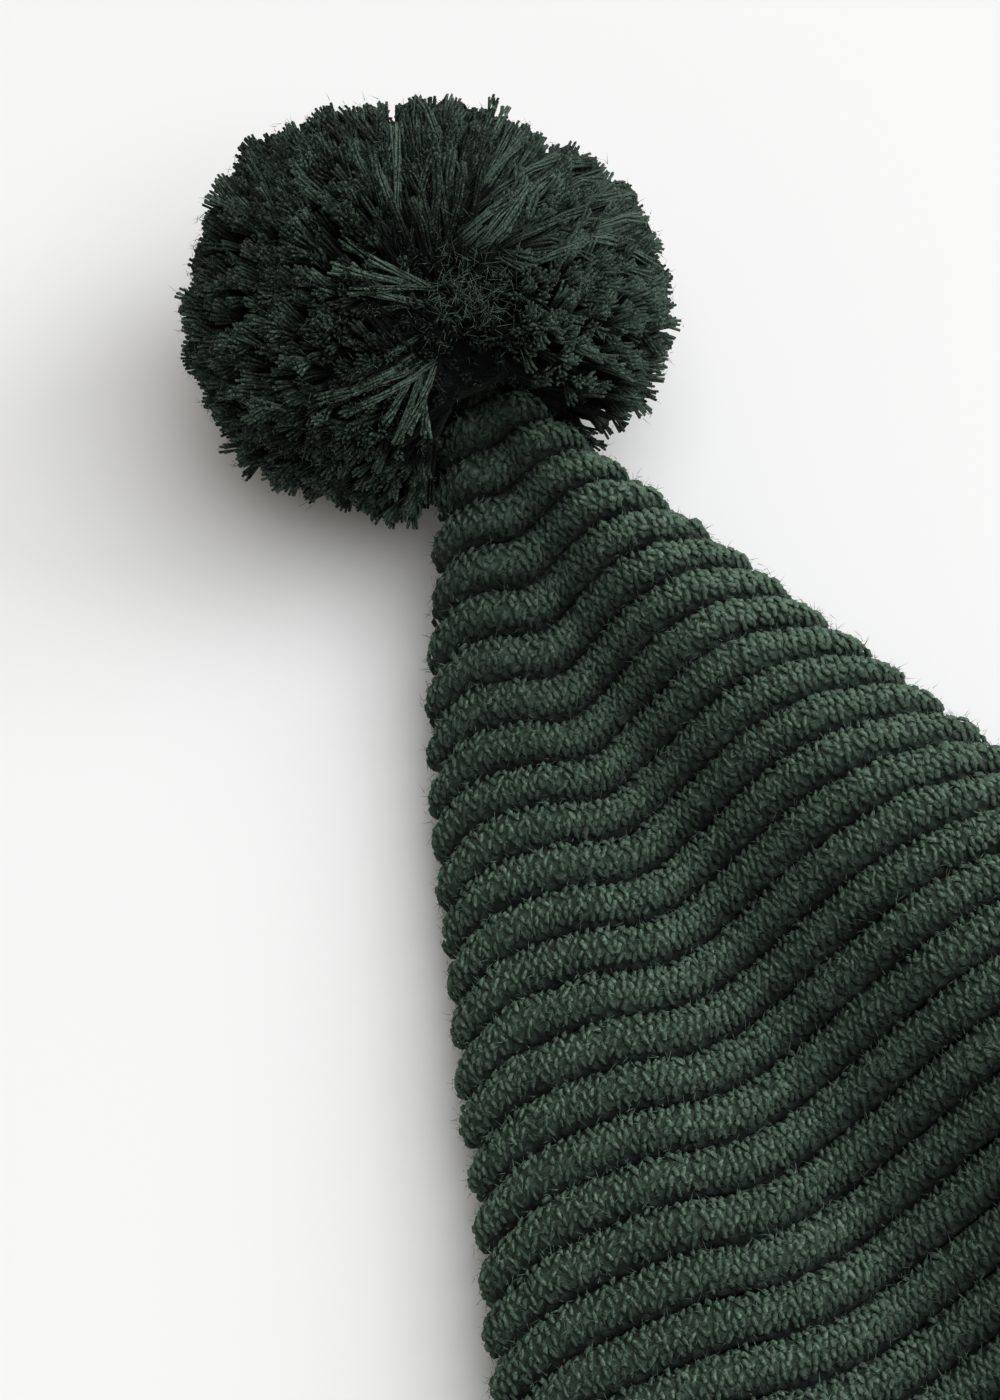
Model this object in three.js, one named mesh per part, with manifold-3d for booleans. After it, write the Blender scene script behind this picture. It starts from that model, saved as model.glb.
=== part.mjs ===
// Elf hat: a long cone knitted in round welts, lying flat, with a yarn pompom tied to its tip.
// Millimetres, +Z up. The hat's length runs along Y, from the open rim at -Y to the pompom at +Y.
import * as THREE from 'three';
import { mergeVertices } from 'three/addons/utils/BufferGeometryUtils.js';
import Module from 'manifold-3d';

const wasm = await Module();
wasm.setup();

// Cone
const HAT_LENGTH = 256;        // from the visible tip to the rim
const RIM_HALF_WIDTH = 106;    // half of the flat width at the rim
const RIM_HEIGHT = 34;         // the highest ridge above the surface, at the rim
const WELT_PITCH = 6.75;       // from one groove to the next
const WELT_RELIEF = 2;         // how far a welt stands out of its grooves
const WALL = 1.7;              // knitting between a groove and the inside
const CAVITY_START = 16;       // the hollow begins this far from the visible tip
const FOLD_WANDER = 3.2;       // how far a welt strays from a straight line across the hat
const LIFT_REACH = 55;         // the tip leaves the surface this far from its end
const FOLD_ROUNDNESS = 0.65;   // radius of a fold as a share of the height beside it
const WELT_SHOULDER = 0.27;    // how soon a welt reaches its full height, as a share of its pitch

// Drawn-in end of the tip and the yarn tied round it
const STUB_LENGTH = 10;        // from the visible tip to the end inside the pompom
const STUB_RADIUS = 2.7;
const TIE_THICKNESS = 2.4;
const TIE_TURNS = 3;
const CLEARANCE = 0.4;         // between pieces that touch

// Pompom
const POMPOM_LENGTH = 71;      // across its two halves
const POMPOM_DEPTH = 61;       // along the tie
const POMPOM_HEIGHT = 62;      // before it is flattened where it lies
const POMPOM_SINK = 1.5;       // how much of its height it loses there
const POMPOM_PAST_TIP = 13;    // from the visible tip to the middle of the pompom
const POMPOM_ASIDE = -1.2;     // the pompom's middle lies this far off the hat's axis
const POMPOM_TURN = -27;       // degrees from the hat's width to the pompom's length
const TIP_BELOW_MIDDLE = 6.5;  // the visible tip lies this far under the pompom's middle
const LOCK_COUNT = 44;
const LOCK_WIDTH = 14;         // across the widest part of one lock of yarn
const CORE_SHARE = 0.8;        // how far the yarn is packed solid, as a share of the pompom
const CHANNEL_REACH = 42;      // from the visible tip to where the parted yarn ends
const CHANNEL_FLARE = 3;       // how far the yarn parts above the tip, on each side

// How finely the surfaces are divided
const TOP_FACES = 14;          // across the upper layer between the folds
const BOTTOM_FACES = 6;        // across the lower layer between the folds
const FOLD_FACES = 6;          // round each fold
const INNER_STEP = 14;         // between sections of the inside
const CHANNEL_STEP = 4.8;      // between sections of the parted yarn
const LOCK_SIDES = 5;
const TIE_SIDES = 12;

// Share of the length from tip to rim, and share of the rim's half width there
const WIDTH_SHARES = [
  { along: 0.00, width: 0.040 }, { along: 0.03, width: 0.088 }, { along: 0.06, width: 0.130 },
  { along: 0.10, width: 0.186 }, { along: 0.15, width: 0.250 }, { along: 0.20, width: 0.305 },
  { along: 0.25, width: 0.350 }, { along: 0.32, width: 0.418 }, { along: 0.40, width: 0.490 },
  { along: 0.50, width: 0.584 }, { along: 0.65, width: 0.722 }, { along: 0.80, width: 0.850 },
  { along: 1.00, width: 1.000 },
];

// From the left fold (-1) to the right fold (1): the height of the grooves there as shares of the rim's
// height, at the tip, a quarter and a half of the way along, and at the rim
const HEIGHT_SHARES = [
  { across: -1.00, tip: 0.26, quarter: 0.40, half: 0.50, rim: 0.74 },
  { across: -0.82, tip: 0.27, quarter: 0.43, half: 0.55, rim: 0.80 },
  { across: -0.60, tip: 0.29, quarter: 0.43, half: 0.57, rim: 0.86 },
  { across: -0.38, tip: 0.30, quarter: 0.37, half: 0.46, rim: 0.80 },
  { across: -0.14, tip: 0.30, quarter: 0.28, half: 0.30, rim: 0.66 },
  { across: 0.08, tip: 0.30, quarter: 0.35, half: 0.40, rim: 0.72 },
  { across: 0.28, tip: 0.30, quarter: 0.44, half: 0.56, rim: 0.86 },
  { across: 0.50, tip: 0.29, quarter: 0.47, half: 0.63, rim: 0.94 },
  { across: 0.72, tip: 0.28, quarter: 0.41, half: 0.56, rim: 0.92 },
  { across: 1.00, tip: 0.26, quarter: 0.33, half: 0.42, rim: 0.76 },
];

// How a welt strays towards the rim on its way across, as shares of the wander
const WANDER_SHARES = [
  { across: -1.00, stray: 0.50 }, { across: -0.85, stray: 0.05 }, { across: -0.60, stray: 0.40 },
  { across: -0.37, stray: 1.00 }, { across: -0.10, stray: 0.25 }, { across: 0.15, stray: -0.40 },
  { across: 0.40, stray: -0.75 }, { across: 0.60, stray: -0.80 }, { across: 0.80, stray: -0.55 },
  { across: 1.00, stray: 0.10 },
];

// Directions round the pompom, in degrees from its length, where its outline is cleft
const CLEFTS = [
  { turn: 55, depth: 0.11, spread: 13 }, { turn: 100, depth: 0.10, spread: 9 },
  { turn: 166, depth: 0.05, spread: 9 }, { turn: 285, depth: 0.10, spread: 14 },
];

// A lock of yarn: share of its reach from the pompom's middle, and share of its width there
const LOCK_SHARES = [
  { out: 0.40, wide: 0 }, { out: 0.40, wide: 0.60 }, { out: 0.86, wide: 1 }, { out: 1, wide: 0.55 },
  { out: 1, wide: 0 },
];

// A smooth curve through a table's rows that never overshoots between two of them
function tableCurve(rows, from, to) {
  const x = rows.map((row) => row[from]);
  const y = rows.map((row) => row[to]);
  const last = x.length - 1;
  const slope = x.slice(1).map((value, i) => (y[i + 1] - y[i]) / (value - x[i]));
  const tangent = x.map((value, i) => {
    if (i === 0 || i === last) return slope[Math.min(i, last - 1)];
    const product = slope[i - 1] * slope[i];
    return product <= 0 ? 0 : 2 * product / (slope[i - 1] + slope[i]);
  });
  return (value) => {
    const q = THREE.MathUtils.clamp(value, x[0], x[last]);
    let k = 0;
    while (k < last - 1 && q > x[k + 1]) k += 1;
    const h = x[k + 1] - x[k];
    const u = (q - x[k]) / h;
    return (2 * u ** 3 - 3 * u ** 2 + 1) * y[k] + (u ** 3 - 2 * u ** 2 + u) * h * tangent[k]
      + (3 * u ** 2 - 2 * u ** 3) * y[k + 1] + (u ** 3 - u ** 2) * h * tangent[k + 1];
  };
}

const widthShare = tableCurve(WIDTH_SHARES, 'along', 'width');
const strayShare = tableCurve(WANDER_SHARES, 'across', 'stray');
const HEIGHT_STATIONS = [
  { along: 0, share: tableCurve(HEIGHT_SHARES, 'across', 'tip') },
  { along: 0.25, share: tableCurve(HEIGHT_SHARES, 'across', 'quarter') },
  { along: 0.5, share: tableCurve(HEIGHT_SHARES, 'across', 'half') },
  { along: 1, share: tableCurve(HEIGHT_SHARES, 'across', 'rim') },
];

// Half width of the hat at the depth of its grooves, t from the visible tip
function halfWidth(t) {
  return RIM_HALF_WIDTH * widthShare(t / HAT_LENGTH) - WELT_RELIEF / 2;
}

// Height of the upper layer's grooves where the hat lies on the surface
function grooveHeight(t, across) {
  const rows = HEIGHT_STATIONS.map(({ along, share }) => ({ along, height: share(across) }));
  return RIM_HEIGHT * tableCurve(rows, 'along', 'height')(t / HAT_LENGTH);
}

// The tip rises to where it is tied, just under the pompom's middle
const TIP_MIDDLE = (WELT_RELIEF + grooveHeight(0, 0)) / 2;
const POMPOM_MIDDLE = POMPOM_HEIGHT / 2 - POMPOM_SINK;
const TIP_LIFT = POMPOM_MIDDLE - TIP_BELOW_MIDDLE - TIP_MIDDLE;
const TIP_SLOPE = 2 * TIP_LIFT / LIFT_REACH;

function lift(t) {
  if (t < 0) return TIP_LIFT - TIP_SLOPE * t;
  return TIP_LIFT * Math.max(1 - t / LIFT_REACH, 0) ** 2;
}

// One section across the hat: the upper layer from left to right, the right fold, the lower layer back
// and the left fold, each point with its place across and its height
function section(t, inset) {
  const width = halfWidth(t) - inset;
  const floor = WELT_RELIEF + inset;
  const shoulder = { '-1': grooveHeight(t, -0.8), 1: grooveHeight(t, 0.8) };
  const foldRadius = (side) => Math.min(0.9 * width, FOLD_ROUNDNESS * (shoulder[side] - inset - floor));
  const points = [];
  const place = (across, height) => {
    const side = across < 0 ? -1 : 1;
    const middle = (floor + shoulder[side] - inset) / 2;
    const reach = height > 0 ? grooveHeight(t, across) - inset - middle : middle - floor;
    points.push({ across, x: across * width, z: middle + reach * height + lift(t) });
  };
  const flat = (side) => 1 - foldRadius(side) / width;
  const fold = (side, turn) => {
    place(side * (flat(side) + (1 - flat(side)) * Math.cos(turn)), Math.sin(turn));
  };
  for (let i = 0; i <= TOP_FACES; i += 1) {
    place(THREE.MathUtils.lerp(-flat(-1), flat(1), i / TOP_FACES), 1);
  }
  for (let i = 1; i < FOLD_FACES; i += 1) fold(1, Math.PI * (0.5 - i / FOLD_FACES));
  for (let i = 0; i <= BOTTOM_FACES; i += 1) {
    place(THREE.MathUtils.lerp(flat(1), -flat(-1), i / BOTTOM_FACES), -1);
  }
  for (let i = 1; i < FOLD_FACES; i += 1) fold(-1, Math.PI * (i / FOLD_FACES - 0.5));
  return points;
}

// One round of the knitting: each point of a section, strayed along the hat and pushed out by the welt
function knitRound(t, out, inset = 0) {
  const near = THREE.MathUtils.clamp(t / CAVITY_START, 0, 1);
  const wander = (across) => FOLD_WANDER * strayShare(across) * near;
  const strays = section(t, inset).map((point) => wander(point.across));
  const points = strays.map((stray, i) => section(t + stray, inset)[i]);
  return points.map((point, i) => {
    const before = points[(i + points.length - 1) % points.length];
    const after = points[(i + 1) % points.length];
    const outward = new THREE.Vector2(before.z - after.z, after.x - before.x).normalize();
    return new THREE.Vector3(point.x + outward.x * out, -t - strays[i], point.z + outward.y * out);
  });
}

// A round of the drawn-in end, which is the visible tip's own section made round
function stubRound(t, radius) {
  const middle = new THREE.Vector3(0, -t, TIP_MIDDLE + lift(t));
  return section(0, 0).map((point) => {
    const spoke = new THREE.Vector3(point.x, 0, point.z - lift(0) - TIP_MIDDLE);
    return spoke.setLength(radius).add(middle);
  });
}

// A closed skin over rounds of equal count, with a single point at each end
function skin(rounds) {
  const positions = rounds.flat().flatMap((point) => point.toArray());
  const firstOf = [];
  let total = 0;
  rounds.forEach((round) => {
    firstOf.push(total);
    total += round.length;
  });
  const count = Math.max(...rounds.map((round) => round.length));
  const index = [];
  for (let j = 0; j + 1 < rounds.length; j += 1) {
    const corner = (k, i) => firstOf[k] + (rounds[k].length === 1 ? 0 : i % count);
    for (let i = 0; i < count; i += 1) {
      if (rounds[j + 1].length > 1) index.push(corner(j, i), corner(j + 1, i), corner(j + 1, i + 1));
      if (rounds[j].length > 1) index.push(corner(j, i), corner(j + 1, i + 1), corner(j, i + 1));
    }
  }
  const geometry = new THREE.BufferGeometry();
  geometry.setAttribute('position', new THREE.Float32BufferAttribute(positions, 3));
  geometry.setIndex(index);
  return geometry;
}

// Grooves lie closer together near the tip, where the knitting is drawn tight
const FIRST_GROOVE = 1.5;
const TIGHT_ROUNDS = 1.3;      // welts' worth of length that the tight knitting takes up
const TIGHT_REACH = 5.5;       // welts over which it eases
const WELT_COUNT = Math.round((HAT_LENGTH - FIRST_GROOVE) / WELT_PITCH + TIGHT_ROUNDS);

function groovePlace(n) {
  const eased = (k) => k - TIGHT_ROUNDS * (1 - Math.exp(-k / TIGHT_REACH));
  return FIRST_GROOVE + (HAT_LENGTH - FIRST_GROOVE) * eased(n) / eased(WELT_COUNT);
}

// The knitted cone: welts outside, a smooth inside, open at the rim
function knitBody() {
  const rounds = [[new THREE.Vector3(0, STUB_LENGTH, TIP_MIDDLE + lift(-STUB_LENGTH))]];
  rounds.push(stubRound(-STUB_LENGTH + CLEARANCE, STUB_RADIUS), stubRound(0, STUB_RADIUS));
  for (let n = 0; n < WELT_COUNT; n += 1) {
    const start = groovePlace(n);
    const pitch = groovePlace(n + 1) - start;
    rounds.push(knitRound(start, 0));
    rounds.push(knitRound(start + WELT_SHOULDER * pitch, WELT_RELIEF));
    rounds.push(knitRound(start + (1 - WELT_SHOULDER) * pitch, WELT_RELIEF));
  }
  rounds.push(knitRound(HAT_LENGTH, WELT_RELIEF / 2));
  const innerCount = Math.ceil((HAT_LENGTH - CAVITY_START) / INNER_STEP);
  for (let i = innerCount; i >= 0; i -= 1) {
    rounds.push(knitRound(THREE.MathUtils.lerp(CAVITY_START, HAT_LENGTH, i / innerCount), 0, WALL));
  }
  const end = section(CAVITY_START, WALL);
  const middle = end.reduce((sum, point) => sum + point.z, 0) / end.length;
  rounds.push([new THREE.Vector3(0, WALL - CAVITY_START, middle)]);
  return skin(rounds);
}

// Yarn wound round the drawn-in end
function tie() {
  const bore = STUB_RADIUS + CLEARANCE;
  const turn = TIE_THICKNESS / 2;
  const start = -TIE_TURNS * turn;
  const profile = [new THREE.Vector2(bore, start)];
  for (let i = 0; i < TIE_TURNS; i += 1) {
    profile.push(new THREE.Vector2(bore + turn, start + i * TIE_THICKNESS));
    profile.push(new THREE.Vector2(bore + TIE_THICKNESS, start + (i + 0.5) * TIE_THICKNESS));
  }
  profile.push(new THREE.Vector2(bore + turn, -start), new THREE.Vector2(bore, -start));
  profile.push(profile[0].clone());
  return new THREE.LatheGeometry(profile, TIE_SIDES);
}

// From a closed mesh to a solid that can be cut and joined, and back
function solidOf(geometry) {
  const bare = geometry.clone();
  bare.deleteAttribute('normal');
  bare.deleteAttribute('uv');
  const merged = mergeVertices(bare, 1e-4);
  const vertProperties = new Float32Array(merged.attributes.position.array);
  const triVerts = new Uint32Array(merged.index.array);
  return new wasm.Manifold(new wasm.Mesh({ numProp: 3, vertProperties, triVerts }));
}

function geometryOf(solid) {
  const mesh = solid.getMesh();
  const geometry = new THREE.BufferGeometry();
  geometry.setAttribute('position', new THREE.BufferAttribute(mesh.vertProperties, 3));
  geometry.setIndex(new THREE.BufferAttribute(mesh.triVerts, 1));
  return geometry;
}

// How far the yarn reaches in a direction given in the pompom's own axes
function yarnReach(direction) {
  const scaled = new THREE.Vector3(
    direction.x / POMPOM_LENGTH, direction.y / POMPOM_DEPTH, direction.z / POMPOM_HEIGHT,
  );
  const turn = THREE.MathUtils.radToDeg(Math.atan2(direction.y, direction.x));
  const level = 1 - direction.z ** 2;
  const cut = CLEFTS.reduce((sum, cleft) => {
    const off = THREE.MathUtils.euclideanModulo(turn - cleft.turn + 180, 360) - 180;
    return sum + cleft.depth * Math.exp(-((off / cleft.spread) ** 2));
  }, 0);
  return 0.5 / scaled.length() * (1 - cut * level);
}

// One lock of yarn from the core outwards, blunt where it is cut
function lock(direction) {
  const reach = yarnReach(direction);
  const half = LOCK_WIDTH / 2;
  const profile = LOCK_SHARES.map(({ out, wide }) => new THREE.Vector2(wide * half, out * reach));
  const geometry = new THREE.LatheGeometry(profile, LOCK_SIDES);
  const toDirection = new THREE.Quaternion().setFromUnitVectors(new THREE.Vector3(0, 1, 0), direction);
  return geometry.applyQuaternion(toDirection);
}

// The space that the tip, its tie and the parted yarn above them take up: rounds a little outside the
// tip's own, each with its upper half raised above the pompom and spread
function channel() {
  const sky = POMPOM_HEIGHT + CHANNEL_FLARE;
  const raised = (round, t) => round.map((point) => {
    if (point.z < TIP_MIDDLE + lift(t)) return point;
    return new THREE.Vector3(point.x + Math.sign(point.x) * CHANNEL_FLARE, point.y, sky);
  });
  const tieSpace = (STUB_RADIUS + TIE_THICKNESS + 2.5 * CLEARANCE) * Math.hypot(1, TIP_SLOPE);
  const rounds = [-STUB_LENGTH - CLEARANCE, -CLEARANCE].map((t) => raised(stubRound(t, tieSpace), t));
  for (let t = 0; t < CHANNEL_REACH; t += CHANNEL_STEP) {
    rounds.push(raised(knitRound(t, WELT_RELIEF + 1.5 * CLEARANCE), t));
  }
  const cap = (round) => {
    const sum = round.reduce((total, point) => total.add(point), new THREE.Vector3());
    return [sum.divideScalar(round.length)];
  };
  return skin([cap(rounds[0]), ...rounds, cap(rounds[rounds.length - 1])]);
}

// The pompom: locks of yarn fused to a packed core, flattened where it lies and parted over the tip
function pompom() {
  const coreSize = [POMPOM_LENGTH, POMPOM_DEPTH, POMPOM_HEIGHT].map((size) => size / 2 * CORE_SHARE);
  let ball = solidOf(new THREE.SphereGeometry(1, 12, 8).scale(...coreSize));
  for (let i = 0; i < LOCK_COUNT; i += 1) {
    const height = 1 - 2 * (i + 0.5) / LOCK_COUNT;
    const turn = i * Math.PI * (3 - Math.sqrt(5));
    const level = Math.sqrt(1 - height ** 2);
    const direction = new THREE.Vector3(level * Math.cos(turn), level * Math.sin(turn), height);
    ball = ball.add(solidOf(lock(direction)));
  }
  const placed = geometryOf(ball).rotateZ(THREE.MathUtils.degToRad(POMPOM_TURN));
  placed.translate(POMPOM_ASIDE, POMPOM_PAST_TIP, POMPOM_MIDDLE);
  const under = new THREE.BoxGeometry(2 * POMPOM_LENGTH, 2 * POMPOM_LENGTH, POMPOM_HEIGHT);
  under.translate(POMPOM_ASIDE, POMPOM_PAST_TIP, -POMPOM_HEIGHT / 2);
  const trimmed = solidOf(placed).subtract(solidOf(under)).subtract(solidOf(channel()));
  const [yarnBall] = trimmed.decompose().sort((one, other) => other.volume() - one.volume());
  return geometryOf(yarnBall);
}

const yarn = new THREE.MeshStandardMaterial({ color: 0x35423a, roughness: 0.95, metalness: 0 });
const cutYarn = new THREE.MeshStandardMaterial({ color: 0x232c27, roughness: 0.95, metalness: 0 });

const hat = new THREE.Group();

const body = new THREE.Mesh(knitBody(), yarn);
body.name = 'knit_body';

const ball = new THREE.Mesh(pompom(), cutYarn);
ball.name = 'pompom';

const binding = new THREE.Mesh(tie(), cutYarn);
binding.name = 'pompom_tie';
binding.rotation.x = Math.atan(TIP_SLOPE);
binding.position.set(0, STUB_LENGTH / 2, TIP_MIDDLE + lift(-STUB_LENGTH / 2));

// The origin is under the middle of the whole hat, on the surface that it lies on
hat.add(body, ball, binding);
const extent = new THREE.Box3().setFromObject(hat);
const middle = extent.getCenter(new THREE.Vector3());
hat.position.set(-middle.x, -middle.y, -extent.min.z);

const part = new THREE.Group();
part.add(hat);

export default part;
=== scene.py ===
# %% [markdown]
# # An elf hat in dark green wool
# The hat is a long knitted cone that lies flat on a pale table. Its fabric rolls into round welts, and a
# pompom of cut yarn is tied to its tip. This lesson dresses the plain solids of the hat in wool: rolls of
# purl stitches, thousands of cut strands and a haze of short fibres. Everything is in metres, in the frame
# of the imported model, and the shapes below repeat the sizes that the solids were made from.

import bpy
import numpy as np
from mathutils import Matrix, Vector


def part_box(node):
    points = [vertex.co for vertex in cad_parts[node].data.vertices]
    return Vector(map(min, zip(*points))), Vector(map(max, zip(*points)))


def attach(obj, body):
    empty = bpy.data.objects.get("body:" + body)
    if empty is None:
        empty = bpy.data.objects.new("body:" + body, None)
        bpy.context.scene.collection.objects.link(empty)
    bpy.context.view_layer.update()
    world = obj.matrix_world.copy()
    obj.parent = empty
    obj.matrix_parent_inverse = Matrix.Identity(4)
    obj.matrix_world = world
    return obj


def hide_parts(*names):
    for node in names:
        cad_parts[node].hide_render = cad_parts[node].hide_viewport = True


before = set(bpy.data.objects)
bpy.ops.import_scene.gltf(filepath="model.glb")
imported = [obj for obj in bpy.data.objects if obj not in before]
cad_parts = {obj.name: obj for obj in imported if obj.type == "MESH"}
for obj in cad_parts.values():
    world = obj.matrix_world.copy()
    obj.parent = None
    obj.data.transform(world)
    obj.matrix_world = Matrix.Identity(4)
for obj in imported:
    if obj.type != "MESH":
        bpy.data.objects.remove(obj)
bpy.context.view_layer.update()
knit_low, knit_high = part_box("knit_body")
pompom_low, pompom_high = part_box("pompom")
tie_low, tie_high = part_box("pompom_tie")
bpy.ops.object.select_all(action="DESELECT")
MM = 0.001
print("the knitting is", round((knit_high[1] - knit_low[1]) / MM, 1), "mm long")
print("the pompom is", round((pompom_high[0] - pompom_low[0]) / MM, 1), "mm wide")

# %% [markdown]
# ## Camera
# The photograph was taken with a long lens from above the rim, a little to the left, so the hat's far
# side is hardly smaller than its near side. A 90 mm lens half a metre away gives the same flat view.

# %% Camera
LENS = 90
SENSOR_WIDTH = 36
FAR_CLIP = 20
VIEW_DISTANCE = 500 * MM
VIEW_ELEVATION = np.radians(62)
VIEW_TURN = np.radians(-27)
VIEW_TARGET = Vector((-13.8 * MM, 74.4 * MM, 0))

level = Vector((-np.sin(VIEW_TURN), np.cos(VIEW_TURN), 0))
toward = -level * np.cos(VIEW_ELEVATION) + Vector((0, 0, np.sin(VIEW_ELEVATION)))
sideways = Vector((np.cos(VIEW_TURN), np.sin(VIEW_TURN), 0))
upward = toward.cross(sideways)
camera_data = bpy.data.cameras.new("camera")
camera_data.lens = LENS
camera_data.sensor_width = SENSOR_WIDTH
camera_data.clip_end = FAR_CLIP
camera = bpy.data.objects.new("camera", camera_data)
bpy.context.collection.objects.link(camera)
turned = Matrix((sideways, upward, toward)).transposed().to_4x4()
camera.matrix_world = Matrix.Translation(VIEW_TARGET + toward * VIEW_DISTANCE) @ turned
bpy.context.scene.camera = camera
print("camera at", [round(v, 3) for v in camera.matrix_world.translation])

# %% [markdown]
# ## The hat's own form
# Before any stitch, the cloth needs its big form: how wide the cone is, how its upper layer rises into
# two soft ridges with a valley between them, and how the tip lifts to the pompom. It could be sculpted, but
# a few short tables of shares keep it exactly where the solid has it. Every place on the cloth then has two
# numbers: t, the distance from the tip, and q, the way round from 0 to 4.

# %% Sizes and tables of the form
HAT_LENGTH = 256.0
RIM_HALF_WIDTH = 106.0
RIM_HEIGHT = 34.0
WELT_PITCH = 6.75
WELT_RELIEF = 2.0
WALL = 1.7
CAVITY_START = 16.0
FOLD_WANDER = 3.2
EVEN_FROM = 40.0
LIFT_REACH = 55.0
FOLD_ROUNDNESS = 0.65
FOLD_SHARE = 0.9
SHOULDER_ACROSS = 0.8
TIP_BELOW_POMPOM = 6.5
STUB_LENGTH = 10.0
STUB_RADIUS = 2.7
TIP_Y = knit_high[1] / MM - STUB_LENGTH

WIDTH_PLACES = [0, 0.03, 0.06, 0.10, 0.15, 0.20, 0.25, 0.32, 0.40, 0.50, 0.65, 0.80, 1]
WIDTHS = [0.040, 0.088, 0.130, 0.186, 0.250, 0.305, 0.350, 0.418, 0.490, 0.584, 0.722, 0.850, 1]
ACROSS = [-1, -0.82, -0.60, -0.38, -0.14, 0.08, 0.28, 0.50, 0.72, 1]
STATIONS = [0, 0.25, 0.5, 1]
HEIGHTS = [
    [0.26, 0.27, 0.29, 0.30, 0.30, 0.30, 0.30, 0.29, 0.28, 0.26],
    [0.40, 0.43, 0.43, 0.37, 0.28, 0.35, 0.44, 0.47, 0.41, 0.33],
    [0.50, 0.55, 0.57, 0.46, 0.30, 0.40, 0.56, 0.63, 0.56, 0.42],
    [0.74, 0.80, 0.86, 0.80, 0.66, 0.72, 0.86, 0.94, 0.92, 0.76],
]
STRAY_PLACES = [-1, -0.85, -0.60, -0.37, -0.10, 0.15, 0.40, 0.60, 0.80, 1]
STRAYS = [0.50, 0.05, 0.40, 1.00, 0.25, -0.40, -0.75, -0.80, -0.55, 0.10]
print("tip at y =", round(TIP_Y, 1), "mm")


# %% Smooth curves through the tables
def smooth_curve(places, values, at):
    """A curve through a table's rows that never overshoots between two of them."""
    places = np.asarray(places, float)
    values = np.asarray(values, float)
    at = np.clip(at, places[0], places[-1])
    gaps = np.diff(places).reshape([-1] + [1] * (values.ndim - 1))
    slopes = np.diff(values, axis=0) / gaps
    before, after = slopes[:-1], slopes[1:]
    total = np.where(before * after > 0, before + after, 1)
    inner = np.where(before * after > 0, 2 * before * after / total, 0)
    tangents = np.concatenate([slopes[:1], inner, slopes[-1:]])
    k = np.clip(np.searchsorted(places, at, side="right") - 1, 0, len(places) - 2)
    h = places[k + 1] - places[k]
    u = (at - places[k]) / h

    def pick(table, index):
        if table.ndim == 1:
            return table[index]
        return np.take_along_axis(table, index[None], 0)[0]

    start = (2 * u**3 - 3 * u**2 + 1) * pick(values, k) + (u**3 - 2 * u**2 + u) * h * pick(tangents, k)
    end = (3 * u**2 - 2 * u**3) * pick(values, k + 1) + (u**3 - u**2) * h * pick(tangents, k + 1)
    return start + end


def half_width(t):
    return RIM_HALF_WIDTH * smooth_curve(WIDTH_PLACES, WIDTHS, t / HAT_LENGTH) - WELT_RELIEF / 2


def groove_height(t, across):
    stations = np.stack([smooth_curve(ACROSS, row, across) for row in HEIGHTS])
    return RIM_HEIGHT * smooth_curve(STATIONS, stations, t / HAT_LENGTH)


POMPOM_MIDDLE = np.array([-1.2, TIP_Y + 13.0, 29.5])
TIP_MIDDLE = float((WELT_RELIEF + groove_height(np.zeros(1), np.zeros(1))[0]) / 2)
TIP_LIFT = POMPOM_MIDDLE[2] - TIP_BELOW_POMPOM - TIP_MIDDLE
TIP_SLOPE = 2 * TIP_LIFT / LIFT_REACH


def lift(t):
    return np.where(t < 0, TIP_LIFT - TIP_SLOPE * t, TIP_LIFT * np.maximum(1 - t / LIFT_REACH, 0) ** 2)


print("half width at the middle:", round(float(half_width(np.array([HAT_LENGTH / 2]))[0]), 1), "mm")


# %% One place on the cloth
def section(t, q, inset=0.0):
    """Across, x and z of the cloth at its grooves: upper layer, right fold, lower layer, left fold."""
    q = q % 4
    width = half_width(t) - inset
    floor = WELT_RELIEF + inset
    side = np.where((q < 0.5) | (q > 2.5), -1.0, 1.0)
    shoulder = groove_height(t, SHOULDER_ACROSS * side)
    radius = np.minimum(FOLD_SHARE * width, FOLD_ROUNDNESS * (shoulder - inset - floor))
    flat = 1 - radius / width
    level_layer = ((q <= 1) | ((q >= 2) & (q <= 3)))
    turn = np.where(q < 2, np.pi * (1.5 - q), np.pi * (q - 3.5))
    way = np.where(q <= 1, np.abs(2 * q - 1), np.abs(2 * (q - 2) - 1))
    across = side * np.where(level_layer, flat * way, flat + (1 - flat) * np.cos(turn))
    height = np.where(q <= 1, 1.0, np.where((q >= 2) & (q <= 3), -1.0, np.sin(turn)))
    middle = (floor + shoulder - inset) / 2
    reach = np.where(height > 0, groove_height(t, across) - inset - middle, middle - floor)
    return across, across * width, middle + reach * height + lift(t)


def cloth(t, q, inset=0.0):
    """Points of the cloth in millimetres, strayed along the hat as its welts wander."""
    across = section(t, q, inset)[0]
    stray = FOLD_WANDER * smooth_curve(STRAY_PLACES, STRAYS, across) * np.clip(t / EVEN_FROM, 0, 1)
    x, z = section(t + stray, q, inset)[1:]
    return np.stack([x, TIP_Y - t - stray, z], -1)


def unit(v):
    return v / np.maximum(np.linalg.norm(v, axis=-1, keepdims=True), 1e-9)


NEAR_T = 0.5
NEAR_Q = 0.006


def cloth_axes(t, q):
    """The outward normal of the cloth and its direction towards the rim."""
    along = cloth(t + NEAR_T, q) - cloth(t - NEAR_T, q)
    round_way = cloth(t, q + NEAR_Q) - cloth(t, q - NEAR_Q)
    return unit(np.cross(along, round_way)), unit(along)


middle_x = cloth(np.full(9, HAT_LENGTH / 2), np.linspace(0, 3.5, 9))[:, 0]
print("half way along, x from", middle_x.min().round(1), "to", middle_x.max().round(1), "mm")

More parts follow.
